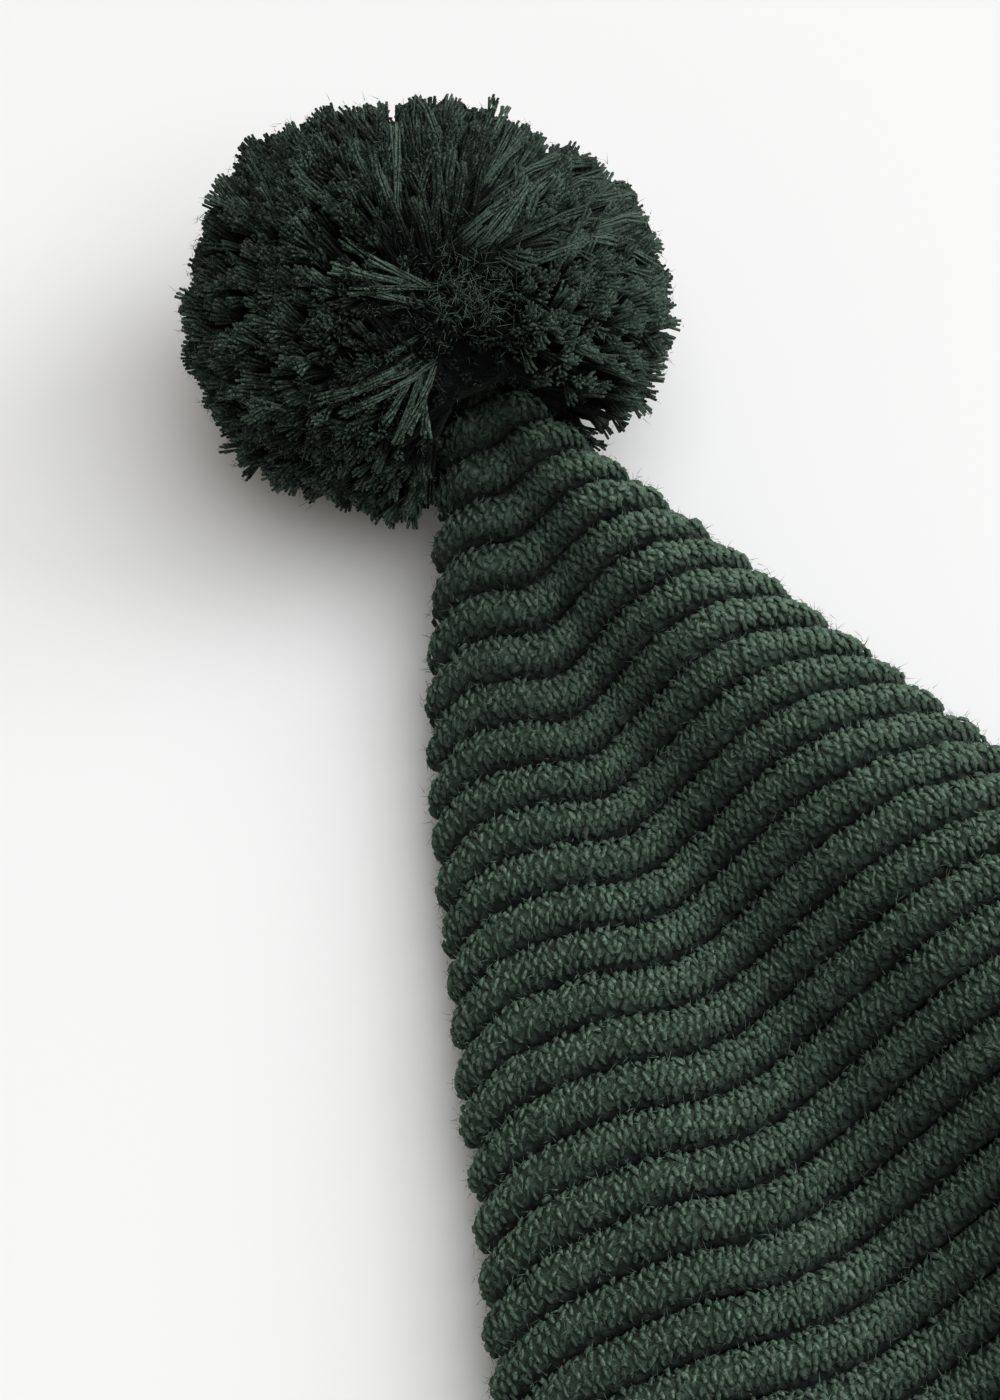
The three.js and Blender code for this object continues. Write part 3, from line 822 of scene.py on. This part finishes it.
def cut_strands(count, rolls):
    ends, length, bend, edge = strand_ends(count, rolls, CUT_PULL)
    crown = np.arccos(np.clip((ends @ crease.T).max(1), -1, 1))
    length = length * (0.80 + 0.20 * np.clip((crown - 0.10) / 0.45, 0, 1))
    tips = POMPOM_MIDDLE + ends * (pompom_reach(ends) * length)[:, None]
    roots = NECK_MIDDLE + rolls.normal(size=(count, 3)) * NECK_SPREAD
    share = clear_share(roots, tips)
    tips = roots + (tips - roots) * share[:, None]
    inner = roots + (tips - roots) * rolls.uniform(*CUT_ROOT, count)[:, None]
    paths = inner[:, None] + (tips - inner)[:, None] * CUT_STEPS[None, :, None]
    curl = rolls.normal(size=(count, 1, 3)) * CUT_CURL
    curl = curl - (curl * ends[:, None]).sum(-1, keepdims=True) * ends[:, None]
    paths = paths + np.sin(0.8 * np.pi * CUT_STEPS)[None, :, None] * bend[:, None] * BEND
    paths = paths + (CUT_STEPS**3)[None, :, None] * curl
    size = np.linalg.norm(tips - roots, axis=1)
    turn = turn_at_crease(ends)
    combed_over = (turn > 15) & (turn < 125) & (ends[:, 2] > 0.1) & (crown > 0.3)
    low = ((ends[:, 2] < -0.5) | combed_over) & (rolls.uniform(size=count) < 0.6)
    keep = (size > LEAST_CUT) & (ends[:, 2] > -0.90) & ~over_tip(paths, 0.4).any(1) & ~low
    painted_crease_shade = np.clip((0.6 - crown) / 0.3, 0, 1)
    # painted shade: darker towards the root, between locks and near the crease
    depth = 0.26 + 0.95 * (1 - CUT_STEPS[None] ** 2) + (0.30 * (1 - edge) + 0.55 * painted_crease_shade)[:, None]
    # painted light: strands that end to the right are paler
    tones = 0.95 * rolls.uniform(0, 1, count) ** 2 + 0.55 * np.clip((70 - np.abs(turn - 15)) / 40, 0, 1)
    return paths[keep], depth[keep], tones[keep]


combed = [part[:COMBED_COUNT] for part in combed_strands(COMBED_COUNT * 9, pompom_rolls)]
combed = [np.concatenate(pair) for pair in zip(combed, tufts(pompom_rolls))]
cut = [part[:CUT_COUNT] for part in cut_strands(CUT_COUNT * 3, pompom_rolls)]
print(len(combed[0]), "combed yarns and", len(cut[0]), "cut yarns")


# %% Plies that wind round each yarn and fray at its end
def ways_along(paths, rolls):
    """The direction of each path at its points, and two more that stand square to it."""
    tangent = unit(np.gradient(paths, axis=1))
    chord = unit(paths[:, -1] - paths[:, 0])
    helper = unit(np.cross(chord, unit(rolls.normal(size=chord.shape))))[:, None]
    first = unit(helper - (helper * tangent).sum(-1, keepdims=True) * tangent)
    return tangent, first, np.cross(tangent, first)


def plies(paths, depth, tones, rolls):
    count, steps = paths.shape[:2]
    tangent, first, second = ways_along(paths, rolls)
    share = np.linspace(0, 1, steps)[None, :, None]
    start = np.arange(PLIES)[None, None] / PLIES + rolls.uniform(size=(count, 1, 1))
    turn = 2 * np.pi * start + TWIST * share
    spread = PLY_SPREAD + FRAY * share**3 * rolls.uniform(0.3, 1.5, (count, 1, PLIES))
    off = first[:, :, None] * (np.cos(turn) * spread)[..., None]
    off = off + second[:, :, None] * (np.sin(turn) * spread)[..., None]
    fibres = paths[:, :, None] + off
    fibres[:, -1] += tangent[:, -1][:, None] * rolls.uniform(-0.6, 0.1, (count, PLIES, 1))
    fibres = fibres.transpose(0, 2, 1, 3).reshape(-1, steps, 3)
    fibres[..., 2] = np.maximum(fibres[..., 2], PLY_RADIUS * 1.2)
    tone = np.repeat(tones, PLIES) + rolls.uniform(-0.15, 0.15, count * PLIES)
    return fibres, np.repeat(depth, PLIES, 0), tone


# %% Tubes along the plies
def tubes(name, paths, depth, shade):
    """One closed tube along each path, its ends drawn to a point."""
    count, steps = paths.shape[:2]
    sides = PLY_SIDES
    tangent, first, second = ways_along(paths, np.random.default_rng(3))
    turn = np.linspace(0, 2 * np.pi, sides, endpoint=False)[None, None, :, None]
    widths = np.ones(steps) * PLY_RADIUS
    widths[0] *= 0.6
    widths[-1] *= 1.12
    ring = first[:, :, None] * np.cos(turn) + second[:, :, None] * np.sin(turn)
    rounds = paths[:, :, None] + ring * widths[None, :, None, None]
    root = paths[:, 0] - tangent[:, 0] * PLY_RADIUS * 0.3
    tip = paths[:, -1] + tangent[:, -1] * PLY_RADIUS * 0.35
    points = np.concatenate([rounds.reshape(count, -1, 3), np.stack([root, tip], 1)], 1)
    corners = []
    for j in range(steps - 1):
        for i in range(sides):
            a, b = j * sides + i, j * sides + (i + 1) % sides
            corners.append((a, b, b + sides))
            corners.append((a, b + sides, a + sides))
    last = (steps - 1) * sides
    for i in range(sides):
        corners.append((steps * sides, (i + 1) % sides, i))
        corners.append((steps * sides + 1, last + i, last + (i + 1) % sides))
    points_each = points.shape[1]
    faces = repeated(np.array(corners), count, points_each)
    pieces_of_way = np.linalg.norm(np.diff(paths, axis=1), axis=2)
    way = np.concatenate([np.zeros((count, 1)), np.cumsum(pieces_of_way, 1)], 1)
    u = np.tile(np.arange(sides) / sides, (count, steps, 1))
    v = np.repeat(way[:, :, None], sides, 2)
    places = np.concatenate([np.stack([u, v], -1).reshape(count, -1, 2), np.zeros((count, 2, 2))], 1)
    places[:, -1, 1] = way[:, -1]
    painted_shade = np.concatenate([np.repeat(depth, sides, 1), depth[:, [0, -1]]], 1)
    values = {"painted_shade": painted_shade, "tone": np.repeat(shade, points_each)}
    return mesh_piece(name, points.reshape(-1, 3), faces, values, places.reshape(-1, 2))


pompom_pieces = []
HALF = len(cut[0]) // 2
strand_sets = {
    "pompom_combed": combed,
    "pompom_cut_a": [part[:HALF] for part in cut],
    "pompom_cut_b": [part[HALF:] for part in cut],
}
for name, yarns in strand_sets.items():
    fibres, depth, tones = plies(*yarns, pompom_rolls)
    pompom_pieces.append(tubes(name, fibres, depth, tones))
    print(name, triangles(pompom_pieces[-1]), "triangles")

# %% [markdown]
# ## The heart of the pompom
# Between the strands the eye meets packed yarn, not the table. A lumpy core closes the ball under them,
# all in the dark colour as painted shade. It starts as an icosphere, and each of its points is moved to its
# place under the yarn and out of the way of the hat's tip.

# %% The core
def even_values(piece, painted_shade, tone):
    """The same painted shade and tone at every point of a piece."""
    for key, value in (("painted_shade", painted_shade), ("tone", tone)):
        set_values(piece.data, key, np.full(len(piece.data.vertices), value))


CORE_SHARE = 0.72
CORE_LUMPS = 0.05
CORE_CLEARANCE = 1.2
bpy.ops.object.select_all(action="DESELECT")
bpy.ops.mesh.primitive_ico_sphere_add(subdivisions=5, radius=1)
core = bpy.context.object
core.name = "pompom_core"
core_ways = unit(np.array([vertex.co for vertex in core.data.vertices]))
core_reach = pompom_reach(core_ways) * CORE_SHARE * (1 + CORE_LUMPS * waves(core_ways, 0.35, 9))
allowed = core_reach.copy()
for share in np.linspace(0.15, 1, 30)[::-1]:
    there = POMPOM_MIDDLE + core_ways * (core_reach * share)[:, None]
    allowed = np.where(over_tip(there, CORE_CLEARANCE), core_reach * (share - 0.04), allowed)
core_points = POMPOM_MIDDLE + core_ways * allowed[:, None]
core_points[:, 2] = np.maximum(core_points[:, 2], 0.4)
set_points(core.data, core_points)
# painted shade: the core is mixed fully to the dark colour
even_values(core, 1.0, 0.3)
core.data.update()
bpy.ops.object.shade_smooth()
pompom_pieces.append(core)
print("pompom_core", triangles(core), "triangles")

# %% [markdown]
# ## The tie
# A length of the same yarn is wound three times round the neck and drawn tight. Each turn is a torus whose
# round runs a little askew, so the turns cross the way wound yarn does.

# %% Wind the tie
TIE_THICKNESS = 2.4
tie_middle = (tie_low + tie_high) / 2
tie_turns = []
for k in range(3):
    bpy.ops.object.select_all(action="DESELECT")
    step = (k - 1) * TIE_THICKNESS * MM * 0.95
    lean = np.arctan(TIP_SLOPE) + np.pi / 2
    place = tie_middle + Vector((0, step * np.sin(lean), -step * np.cos(lean)))
    bpy.ops.mesh.primitive_torus_add(
        location=place,
        rotation=(lean, 0.12 * (k - 1), 0.10 * k),
        major_radius=(STUB_RADIUS + TIE_THICKNESS / 2 + 0.1) * MM,
        minor_radius=TIE_THICKNESS / 2 * MM,
        major_segments=48,
        minor_segments=14,
    )
    tie_turns.append(bpy.context.object)
tie = join(tie_turns, "tie_yarn_turns")
bpy.ops.object.transform_apply(location=True, rotation=True, scale=True)
even_values(tie, 0.4, 0.4)
print("tie", triangles(tie), "triangles")

# %% [markdown]
# ## Fuzz
# Brushed wool has a halo of loose fibres. Each is a thin closed needle of four faces that leans out of the
# cloth, which is enough at this size. Their colour is paler than the knitting, a painted highlight, so they
# show as the pale flecks in the photograph. The pompom has loose hairs at its cut ends too, and a small
# tangle of longer ones in the crease by the tie.

# %% Needles
FIBRE_RADIUS = 0.05
FIBRE_LENGTHS = (0.6, 1.9)
HAIR_LENGTHS = (0.6, 1.8)
TANGLE_LENGTHS = (1.2, 3.6)
NEEDLE_TURNS = (0, 2.0944, 4.1888)
ABOVE_FLOOR = 0.2
KNIT_FIBRES = 44000
POMPOM_FIBRES = 4500
CREASE_FIBRES = 420
fibre_rolls = np.random.default_rng(41)


def needles(name, roots, ways, lengths, shades, rolls):
    """Thin closed needles of four faces from their roots outwards."""
    side = unit(np.cross(ways, unit(rolls.normal(size=ways.shape))))
    other = np.cross(ways, side)
    base = [roots + FIBRE_RADIUS * (side * np.cos(a) + other * np.sin(a)) for a in NEEDLE_TURNS]
    points = np.stack(base + [roots + ways * lengths[:, None]], 1)
    corners = np.array([(0, 1, 3), (1, 2, 3), (2, 0, 3), (2, 1, 0)])
    values = {"painted_shade": np.repeat(shades, 4), "tone": np.repeat(rolls.uniform(0, 1, len(roots)), 4)}
    return mesh_piece(name, points.reshape(-1, 3), repeated(corners, len(roots), 4), values)


# %% Fibres of the knitting
loop_middles, loop_outs, loop_shades = (
    np.concatenate([laid_loops[k] for laid_loops in all_loops]) for k in (0, 2, 3)
)
chosen = np.sort(fibre_rolls.integers(0, len(loop_middles), KNIT_FIBRES))
outs = loop_outs[chosen]
roots = loop_middles[chosen] + outs * LOOP_RADIUS * 0.7 + fibre_rolls.normal(size=outs.shape) * 0.35
upright = fibre_rolls.uniform(0.05, 0.65, (len(outs), 1))
leans = unit(outs * upright + unit(fibre_rolls.normal(size=outs.shape)) * 0.8)
leans = unit(leans + outs * np.maximum(0, 0.12 - (leans * outs).sum(-1, keepdims=True)))
lengths = fibre_rolls.uniform(*FIBRE_LENGTHS, len(roots))
above = roots[:, 2] + leans[:, 2] * lengths > ABOVE_FLOOR
# the fibres take the painted shade of their loops
knit_fibres = [part[above] for part in (roots, leans, lengths, loop_shades[chosen])]
half = len(knit_fibres[0]) // 2
fuzz_pieces = []
for name, part in (("fuzz_upper", slice(0, half)), ("fuzz_lower", slice(half, None))):
    fuzz_pieces.append(needles(name, *[values[part] for values in knit_fibres], fibre_rolls))
    print(name, triangles(fuzz_pieces[-1]), "triangles")

# %% Loose hairs of the pompom
chosen = fibre_rolls.integers(0, len(cut[0]), POMPOM_FIBRES)
hair_roots = cut[0][chosen, -1] + fibre_rolls.normal(size=(POMPOM_FIBRES, 3)) * 0.3
hair_outs = unit(hair_roots - POMPOM_MIDDLE)
hair_ways = unit(hair_outs * 0.5 + unit(fibre_rolls.normal(size=hair_outs.shape)))
hair_lengths = fibre_rolls.uniform(*HAIR_LENGTHS, POMPOM_FIBRES)
tangle_steps = fibre_rolls.uniform(0, 1, (CREASE_FIBRES, 1))
tangle_outs = slerp(facing(0.08, -0.02)[None], facing(0.42, 0.02)[None], tangle_steps)
tangle_outs = unit(tangle_outs + fibre_rolls.normal(size=tangle_outs.shape) * 0.12)
tangle_reach = pompom_reach(tangle_outs) * fibre_rolls.uniform(0.80, 0.92, CREASE_FIBRES)
tangle_roots = POMPOM_MIDDLE + tangle_outs * tangle_reach[:, None]
tangle_ways = unit(tangle_outs * 0.35 + unit(fibre_rolls.normal(size=tangle_outs.shape)))
tangle_lengths = fibre_rolls.uniform(*TANGLE_LENGTHS, CREASE_FIBRES)
clear = ~over_tip(tangle_roots) & ~over_tip(tangle_roots + tangle_ways * tangle_lengths[:, None])
hairs = [
    np.concatenate([hair_roots, tangle_roots[clear]]),
    np.concatenate([hair_ways, tangle_ways[clear]]),
    np.concatenate([hair_lengths, tangle_lengths[clear]]),
    np.concatenate([np.full(POMPOM_FIBRES, 0.55), np.full(clear.sum(), 0.5)]),
]
standing = hairs[0][:, 2] + hairs[1][:, 2] * hairs[2] > ABOVE_FLOOR
pompom_fuzz = needles("pompom_fuzz", *[part[standing] for part in hairs], fibre_rolls)
print("pompom_fuzz", triangles(pompom_fuzz), "triangles")

# %% [markdown]
# ## The wool
# Knitting, pompom and tie are the same matt wool. Its colour is not even: the fibres on top are paler and
# greyer, and a painted shade in the hollows, gaps and undersides mixes it towards a dark colour. A node
# group works out the colour and a small relief of fibres from Object coordinates, and each material adds its
# own values and its sheen.

# %% A node group for wool
def add_node(tree, kind, settings=None, feeds=None, **inputs):
    """A node with its settings, its plain inputs and the outputs that feed its other inputs."""
    node = tree.nodes.new("ShaderNode" + kind)
    for key, value in (settings or {}).items():
        setattr(node, key, value)
    for key, value in inputs.items():
        node.inputs[key.replace("_", " ")].default_value = value
    for key, output in (feeds or {}).items():
        tree.links.new(output, node.inputs[key])
    return node


WOOL_INPUTS = {
    "Dark": "Color",
    "Middle": "Color",
    "Pale": "Color",
    "Painted shade": "Float",
    "Tone": "Float",
    "Fibre size": "Float",
}
wool = bpy.data.node_groups.new("wool", "ShaderNodeTree")
for name, kind in WOOL_INPUTS.items():
    wool.interface.new_socket(name, in_out="INPUT", socket_type="NodeSocket" + kind)
wool.interface.new_socket("Colour", in_out="OUTPUT", socket_type="NodeSocketColor")
wool.interface.new_socket("Height", in_out="OUTPUT", socket_type="NodeSocketFloat")
given = wool.nodes.new("NodeGroupInput")
print("wool group takes", ", ".join(WOOL_INPUTS))

# %% Its fibres: two crossed noises, bent a little and stretched along the fibres
NOISE_BEND = 0.0009
at_object = {"Vector": add_node(wool, "TexCoord").outputs["Object"]}
bend = add_node(wool, "TexNoise", None, at_object, Scale=420.0, Detail=1.0)
bent_feeds = {0: bend.outputs["Color"], 2: at_object["Vector"]}
bent = add_node(wool, "VectorMath", {"operation": "MULTIPLY_ADD"}, bent_feeds)
bent.inputs[1].default_value = (NOISE_BEND,) * 3
streaks = {}
for k, stretch in enumerate(((1, 0.22, 0.6), (0.22, 1, 0.6))):
    mapping = add_node(wool, "Mapping", None, {"Vector": bent.outputs["Vector"]}, Scale=stretch)
    feeds = {"Scale": given.outputs["Fibre size"], "Vector": mapping.outputs["Vector"]}
    streaks[k] = add_node(wool, "TexNoise", None, feeds, Detail=2.0, Roughness=0.6).outputs["Fac"]
fibres = add_node(wool, "Math", {"operation": "MAXIMUM"}, streaks)
sharp = add_node(wool, "MapRange", None, {"Value": fibres.outputs["Value"]}, From_Min=0.48, From_Max=0.64)
print("fibres from", len(streaks), "noises")

# %% Its colour: pale fibres over the middle colour, uneven, and painted shade towards the dark colour
blotch = add_node(wool, "TexNoise", None, at_object, Scale=160.0, Detail=2.0)
blotch_range = add_node(wool, "MapRange", None, {"Value": blotch.outputs["Fac"]}, From_Min=0.3, From_Max=0.7)
blotch_range.inputs["To Min"].default_value = -0.16
blotch_range.inputs["To Max"].default_value = 0.16
tone_range = add_node(wool, "MapRange", None, {"Value": given.outputs["Tone"]}, To_Min=-0.42, To_Max=0.42)
lightness = add_node(wool, "Math", None, {0: sharp.outputs["Result"], 1: blotch_range.outputs["Result"]})
toned = add_node(wool, "Math", None, {0: lightness.outputs["Value"], 1: tone_range.outputs["Result"]})
ramp_feeds = {"Factor": toned.outputs["Value"], "A": given.outputs["Middle"], "B": given.outputs["Pale"]}
ramp = add_node(wool, "Mix", {"data_type": "RGBA"}, ramp_feeds)
darken_feeds = {"Factor": given.outputs["Painted shade"], "A": ramp.outputs["Result"], "B": given.outputs["Dark"]}
darken = add_node(wool, "Mix", {"data_type": "RGBA"}, darken_feeds)
result = wool.nodes.new("NodeGroupOutput")
wool.links.new(darken.outputs["Result"], result.inputs["Colour"])
wool.links.new(sharp.outputs["Result"], result.inputs["Height"])
print("wool group with", len(wool.nodes), "nodes")


# %% Wool materials
# painted shade in the gaps between the nubs of the ground
NUB_SHADE = 0.40
NUB_RELIEF = 0.0005
WOOL_SHADER = {
    "Roughness": 0.92,
    "Specular IOR Level": 0.15,
    "Sheen Roughness": 0.45,
    "Sheen Tint": (0.62, 0.78, 0.68, 1),
}


def nub_pattern(tree):
    """Painted shade in the gaps between the brick-laid nubs, and their relief, from the stitches and rows that
    the UV map counts.
    """
    places = add_node(tree, "UVMap", {"uv_map": "UVMap"})
    turn = add_node(tree, "Mapping", None, {"Vector": places.outputs["UV"]}, Location=(0.5, 0.5, 0))
    turn.inputs["Rotation"].default_value = (0, 0, np.radians(45))
    turn.inputs["Scale"].default_value = (2**0.5, 2**0.5, 1)
    at_turned = {"Vector": turn.outputs["Vector"]}
    cells = add_node(tree, "TexVoronoi", None, at_turned, Scale=1.0, Randomness=0.35)
    distance = {"Value": cells.outputs["Distance"]}
    gaps = add_node(tree, "MapRange", None, distance, From_Min=0.28, From_Max=0.62)
    return gaps.outputs["Result"]


def wool_material(name, colours, painted_shade_from, painted_shade_to, fibre_size, relief, sheen, nubs):
    material = bpy.data.materials.new(name)
    material.use_nodes = True
    tree = material.node_tree
    shader = tree.nodes["Principled BSDF"]
    for key, value in WOOL_SHADER.items():
        shader.inputs[key].default_value = value
    shader.inputs["Sheen Weight"].default_value = sheen
    # the painted shade of each point: how far its colour is mixed towards the dark colour
    painted_shade = {"Value": add_node(tree, "Attribute", {"attribute_name": "painted_shade"}).outputs["Fac"]}
    tone = add_node(tree, "Attribute", {"attribute_name": "tone"}).outputs["Fac"]
    painted_shade_range = add_node(tree, "MapRange", None, painted_shade, From_Min=painted_shade_from, From_Max=painted_shade_to)
    depth = painted_shade_range.outputs["Result"]
    under = {}
    if nubs:
        # the gaps add painted shade
        gaps = nub_pattern(tree)
        both = add_node(tree, "Math", {"operation": "MULTIPLY_ADD", "use_clamp": True}, {0: gaps, 2: depth})
        both.inputs[1].default_value = NUB_SHADE
        depth = both.outputs["Value"]
        raised_feeds = {"Height": gaps}
        raised = add_node(tree, "Bump", {"invert": True}, raised_feeds, Distance=NUB_RELIEF, Strength=1.0)
        under["Normal"] = raised.outputs["Normal"]
    group_feeds = {"Painted shade": depth, "Tone": tone}
    group = add_node(tree, "Group", {"node_tree": wool}, group_feeds, Fibre_size=fibre_size)
    for key, colour in zip(("Dark", "Middle", "Pale"), colours):
        group.inputs[key].default_value = (*colour, 1)
    feeds = {"Height": group.outputs["Height"], **under}
    bump = add_node(tree, "Bump", None, feeds, Distance=relief, Strength=0.8)
    tree.links.new(bump.outputs["Normal"], shader.inputs["Normal"])
    tree.links.new(group.outputs["Colour"], shader.inputs["Base Color"])
    return material


# %% The four wools
# dark, middle and pale colours; painted shade from and to; size and relief of the fibres; sheen; nubs
WOOLS = {
    "knitted_wool": (
        [(0.0115, 0.0190, 0.0140), (0.051, 0.087, 0.0605), (0.166, 0.252, 0.180)],
        (0.10, 1.0, 2800, 0.00022, 0.10, False),
    ),
    # the ground's colours are darker than the loops' as painted shade between them
    "knitted_ground": (
        [(0.006, 0.0096, 0.0075), (0.040, 0.066, 0.048), (0.110, 0.165, 0.125)],
        (0.10, 0.90, 2800, 0.00022, 0.04, True),
    ),
    "cut_wool": (
        [(0.0015, 0.0024, 0.0019), (0.012, 0.021, 0.015), (0.135, 0.205, 0.158)],
        (0.05, 0.95, 3000, 0.00018, 0.04, False),
    ),
    # the paler colours of the loose fibres are a painted highlight
    "loose_fibres": (
        [(0.02, 0.03, 0.024), (0.090, 0.142, 0.107), (0.230, 0.340, 0.258)],
        (0.05, 1.0, 2800, 0.0001, 0.1, False),
    ),
}
dressed_in = {
    "knitted_ground": knit_pieces,
    "knitted_wool": loop_pieces,
    "cut_wool": pompom_pieces + [tie],
    "loose_fibres": fuzz_pieces + [pompom_fuzz],
}
for name, (colours, numbers) in WOOLS.items():
    material = wool_material(name, colours, *numbers)
    for piece in dressed_in[name]:
        piece.data.materials.clear()
        piece.data.materials.append(material)
    print(name, "on", len(dressed_in[name]), "pieces")

# %% [markdown]
# ## Which piece stands for which solid
# Every new piece rides on the hat's one body and takes the place of the plain solid under it.

# %% Ride and replace
for piece in knit_pieces + loop_pieces + fuzz_pieces:
    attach(piece, "root")
    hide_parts("knit_body")
for piece in pompom_pieces + [pompom_fuzz]:
    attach(piece, "root")
    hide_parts("pompom")
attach(tie, "root")
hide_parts("pompom_tie")
print(len(knit_pieces + loop_pieces + fuzz_pieces + pompom_pieces) + 2, "pieces ride on the hat")

# %% [markdown]
# ## Floor and light
# The hat lies on a white table. A very wide soft lamp stands high over its right front, and a smaller one
# lower on its right, whose soft shadow falls to the left. The slightly warm white room fills the shadows.
# The table is so bright that it is nearly white in the picture.

# %% Floor
FLOOR_SIZE = 6
bpy.ops.object.select_all(action="DESELECT")
bpy.ops.mesh.primitive_plane_add(size=FLOOR_SIZE, location=(0, 0, 0))
floor = bpy.context.object
floor.name = "floor"
floor_material = bpy.data.materials.new("white_table")
floor_material.use_nodes = True
floor_shader = floor_material.node_tree.nodes["Principled BSDF"]
floor_shader.inputs["Base Color"].default_value = (0.88, 0.88, 0.88, 1)
floor_shader.inputs["Roughness"].default_value = 0.8
floor.data.materials.append(floor_material)

# %% Lights
ROOM_COLOUR = (1, 0.93, 0.80, 1)
ROOM_STRENGTH = 0.25
LAMP_COLOUR = (0.98, 0.997, 1.03)
LAMP_AIM = Vector((0, 0.05, 0))
world = bpy.data.worlds.new("white_room")
bpy.context.scene.world = world
bpy.context.scene.view_settings.view_transform = "Standard"
world.use_nodes = True
world.node_tree.nodes["Background"].inputs["Color"].default_value = ROOM_COLOUR
world.node_tree.nodes["Background"].inputs["Strength"].default_value = ROOM_STRENGTH
# way round and up in degrees, distance and width in metres, power in watts
LAMPS = {
    "overhead": (-50, 72, 8.0, 10.0, 637.0),
    "low_back": (-12, 36, 8.0, 5.0, 185.0),
}
for name, (turn, rise, distance, size, energy) in LAMPS.items():
    turn, rise = np.radians(turn), np.radians(rise)
    way = Vector((np.cos(rise) * np.cos(turn), np.cos(rise) * np.sin(turn), np.sin(rise)))
    lamp_data = bpy.data.lights.new(name, "AREA")
    lamp_data.shape = "DISK"
    lamp_data.size = size
    lamp_data.energy = energy
    lamp_data.color = LAMP_COLOUR
    lamp = bpy.data.objects.new(name, lamp_data)
    bpy.context.collection.objects.link(lamp)
    lamp.location = way * distance + LAMP_AIM
    lamp.rotation_euler = (-way).to_track_quat("-Z", "Y").to_euler()
    print(name, "lamp at", [round(v, 2) for v in lamp.location])
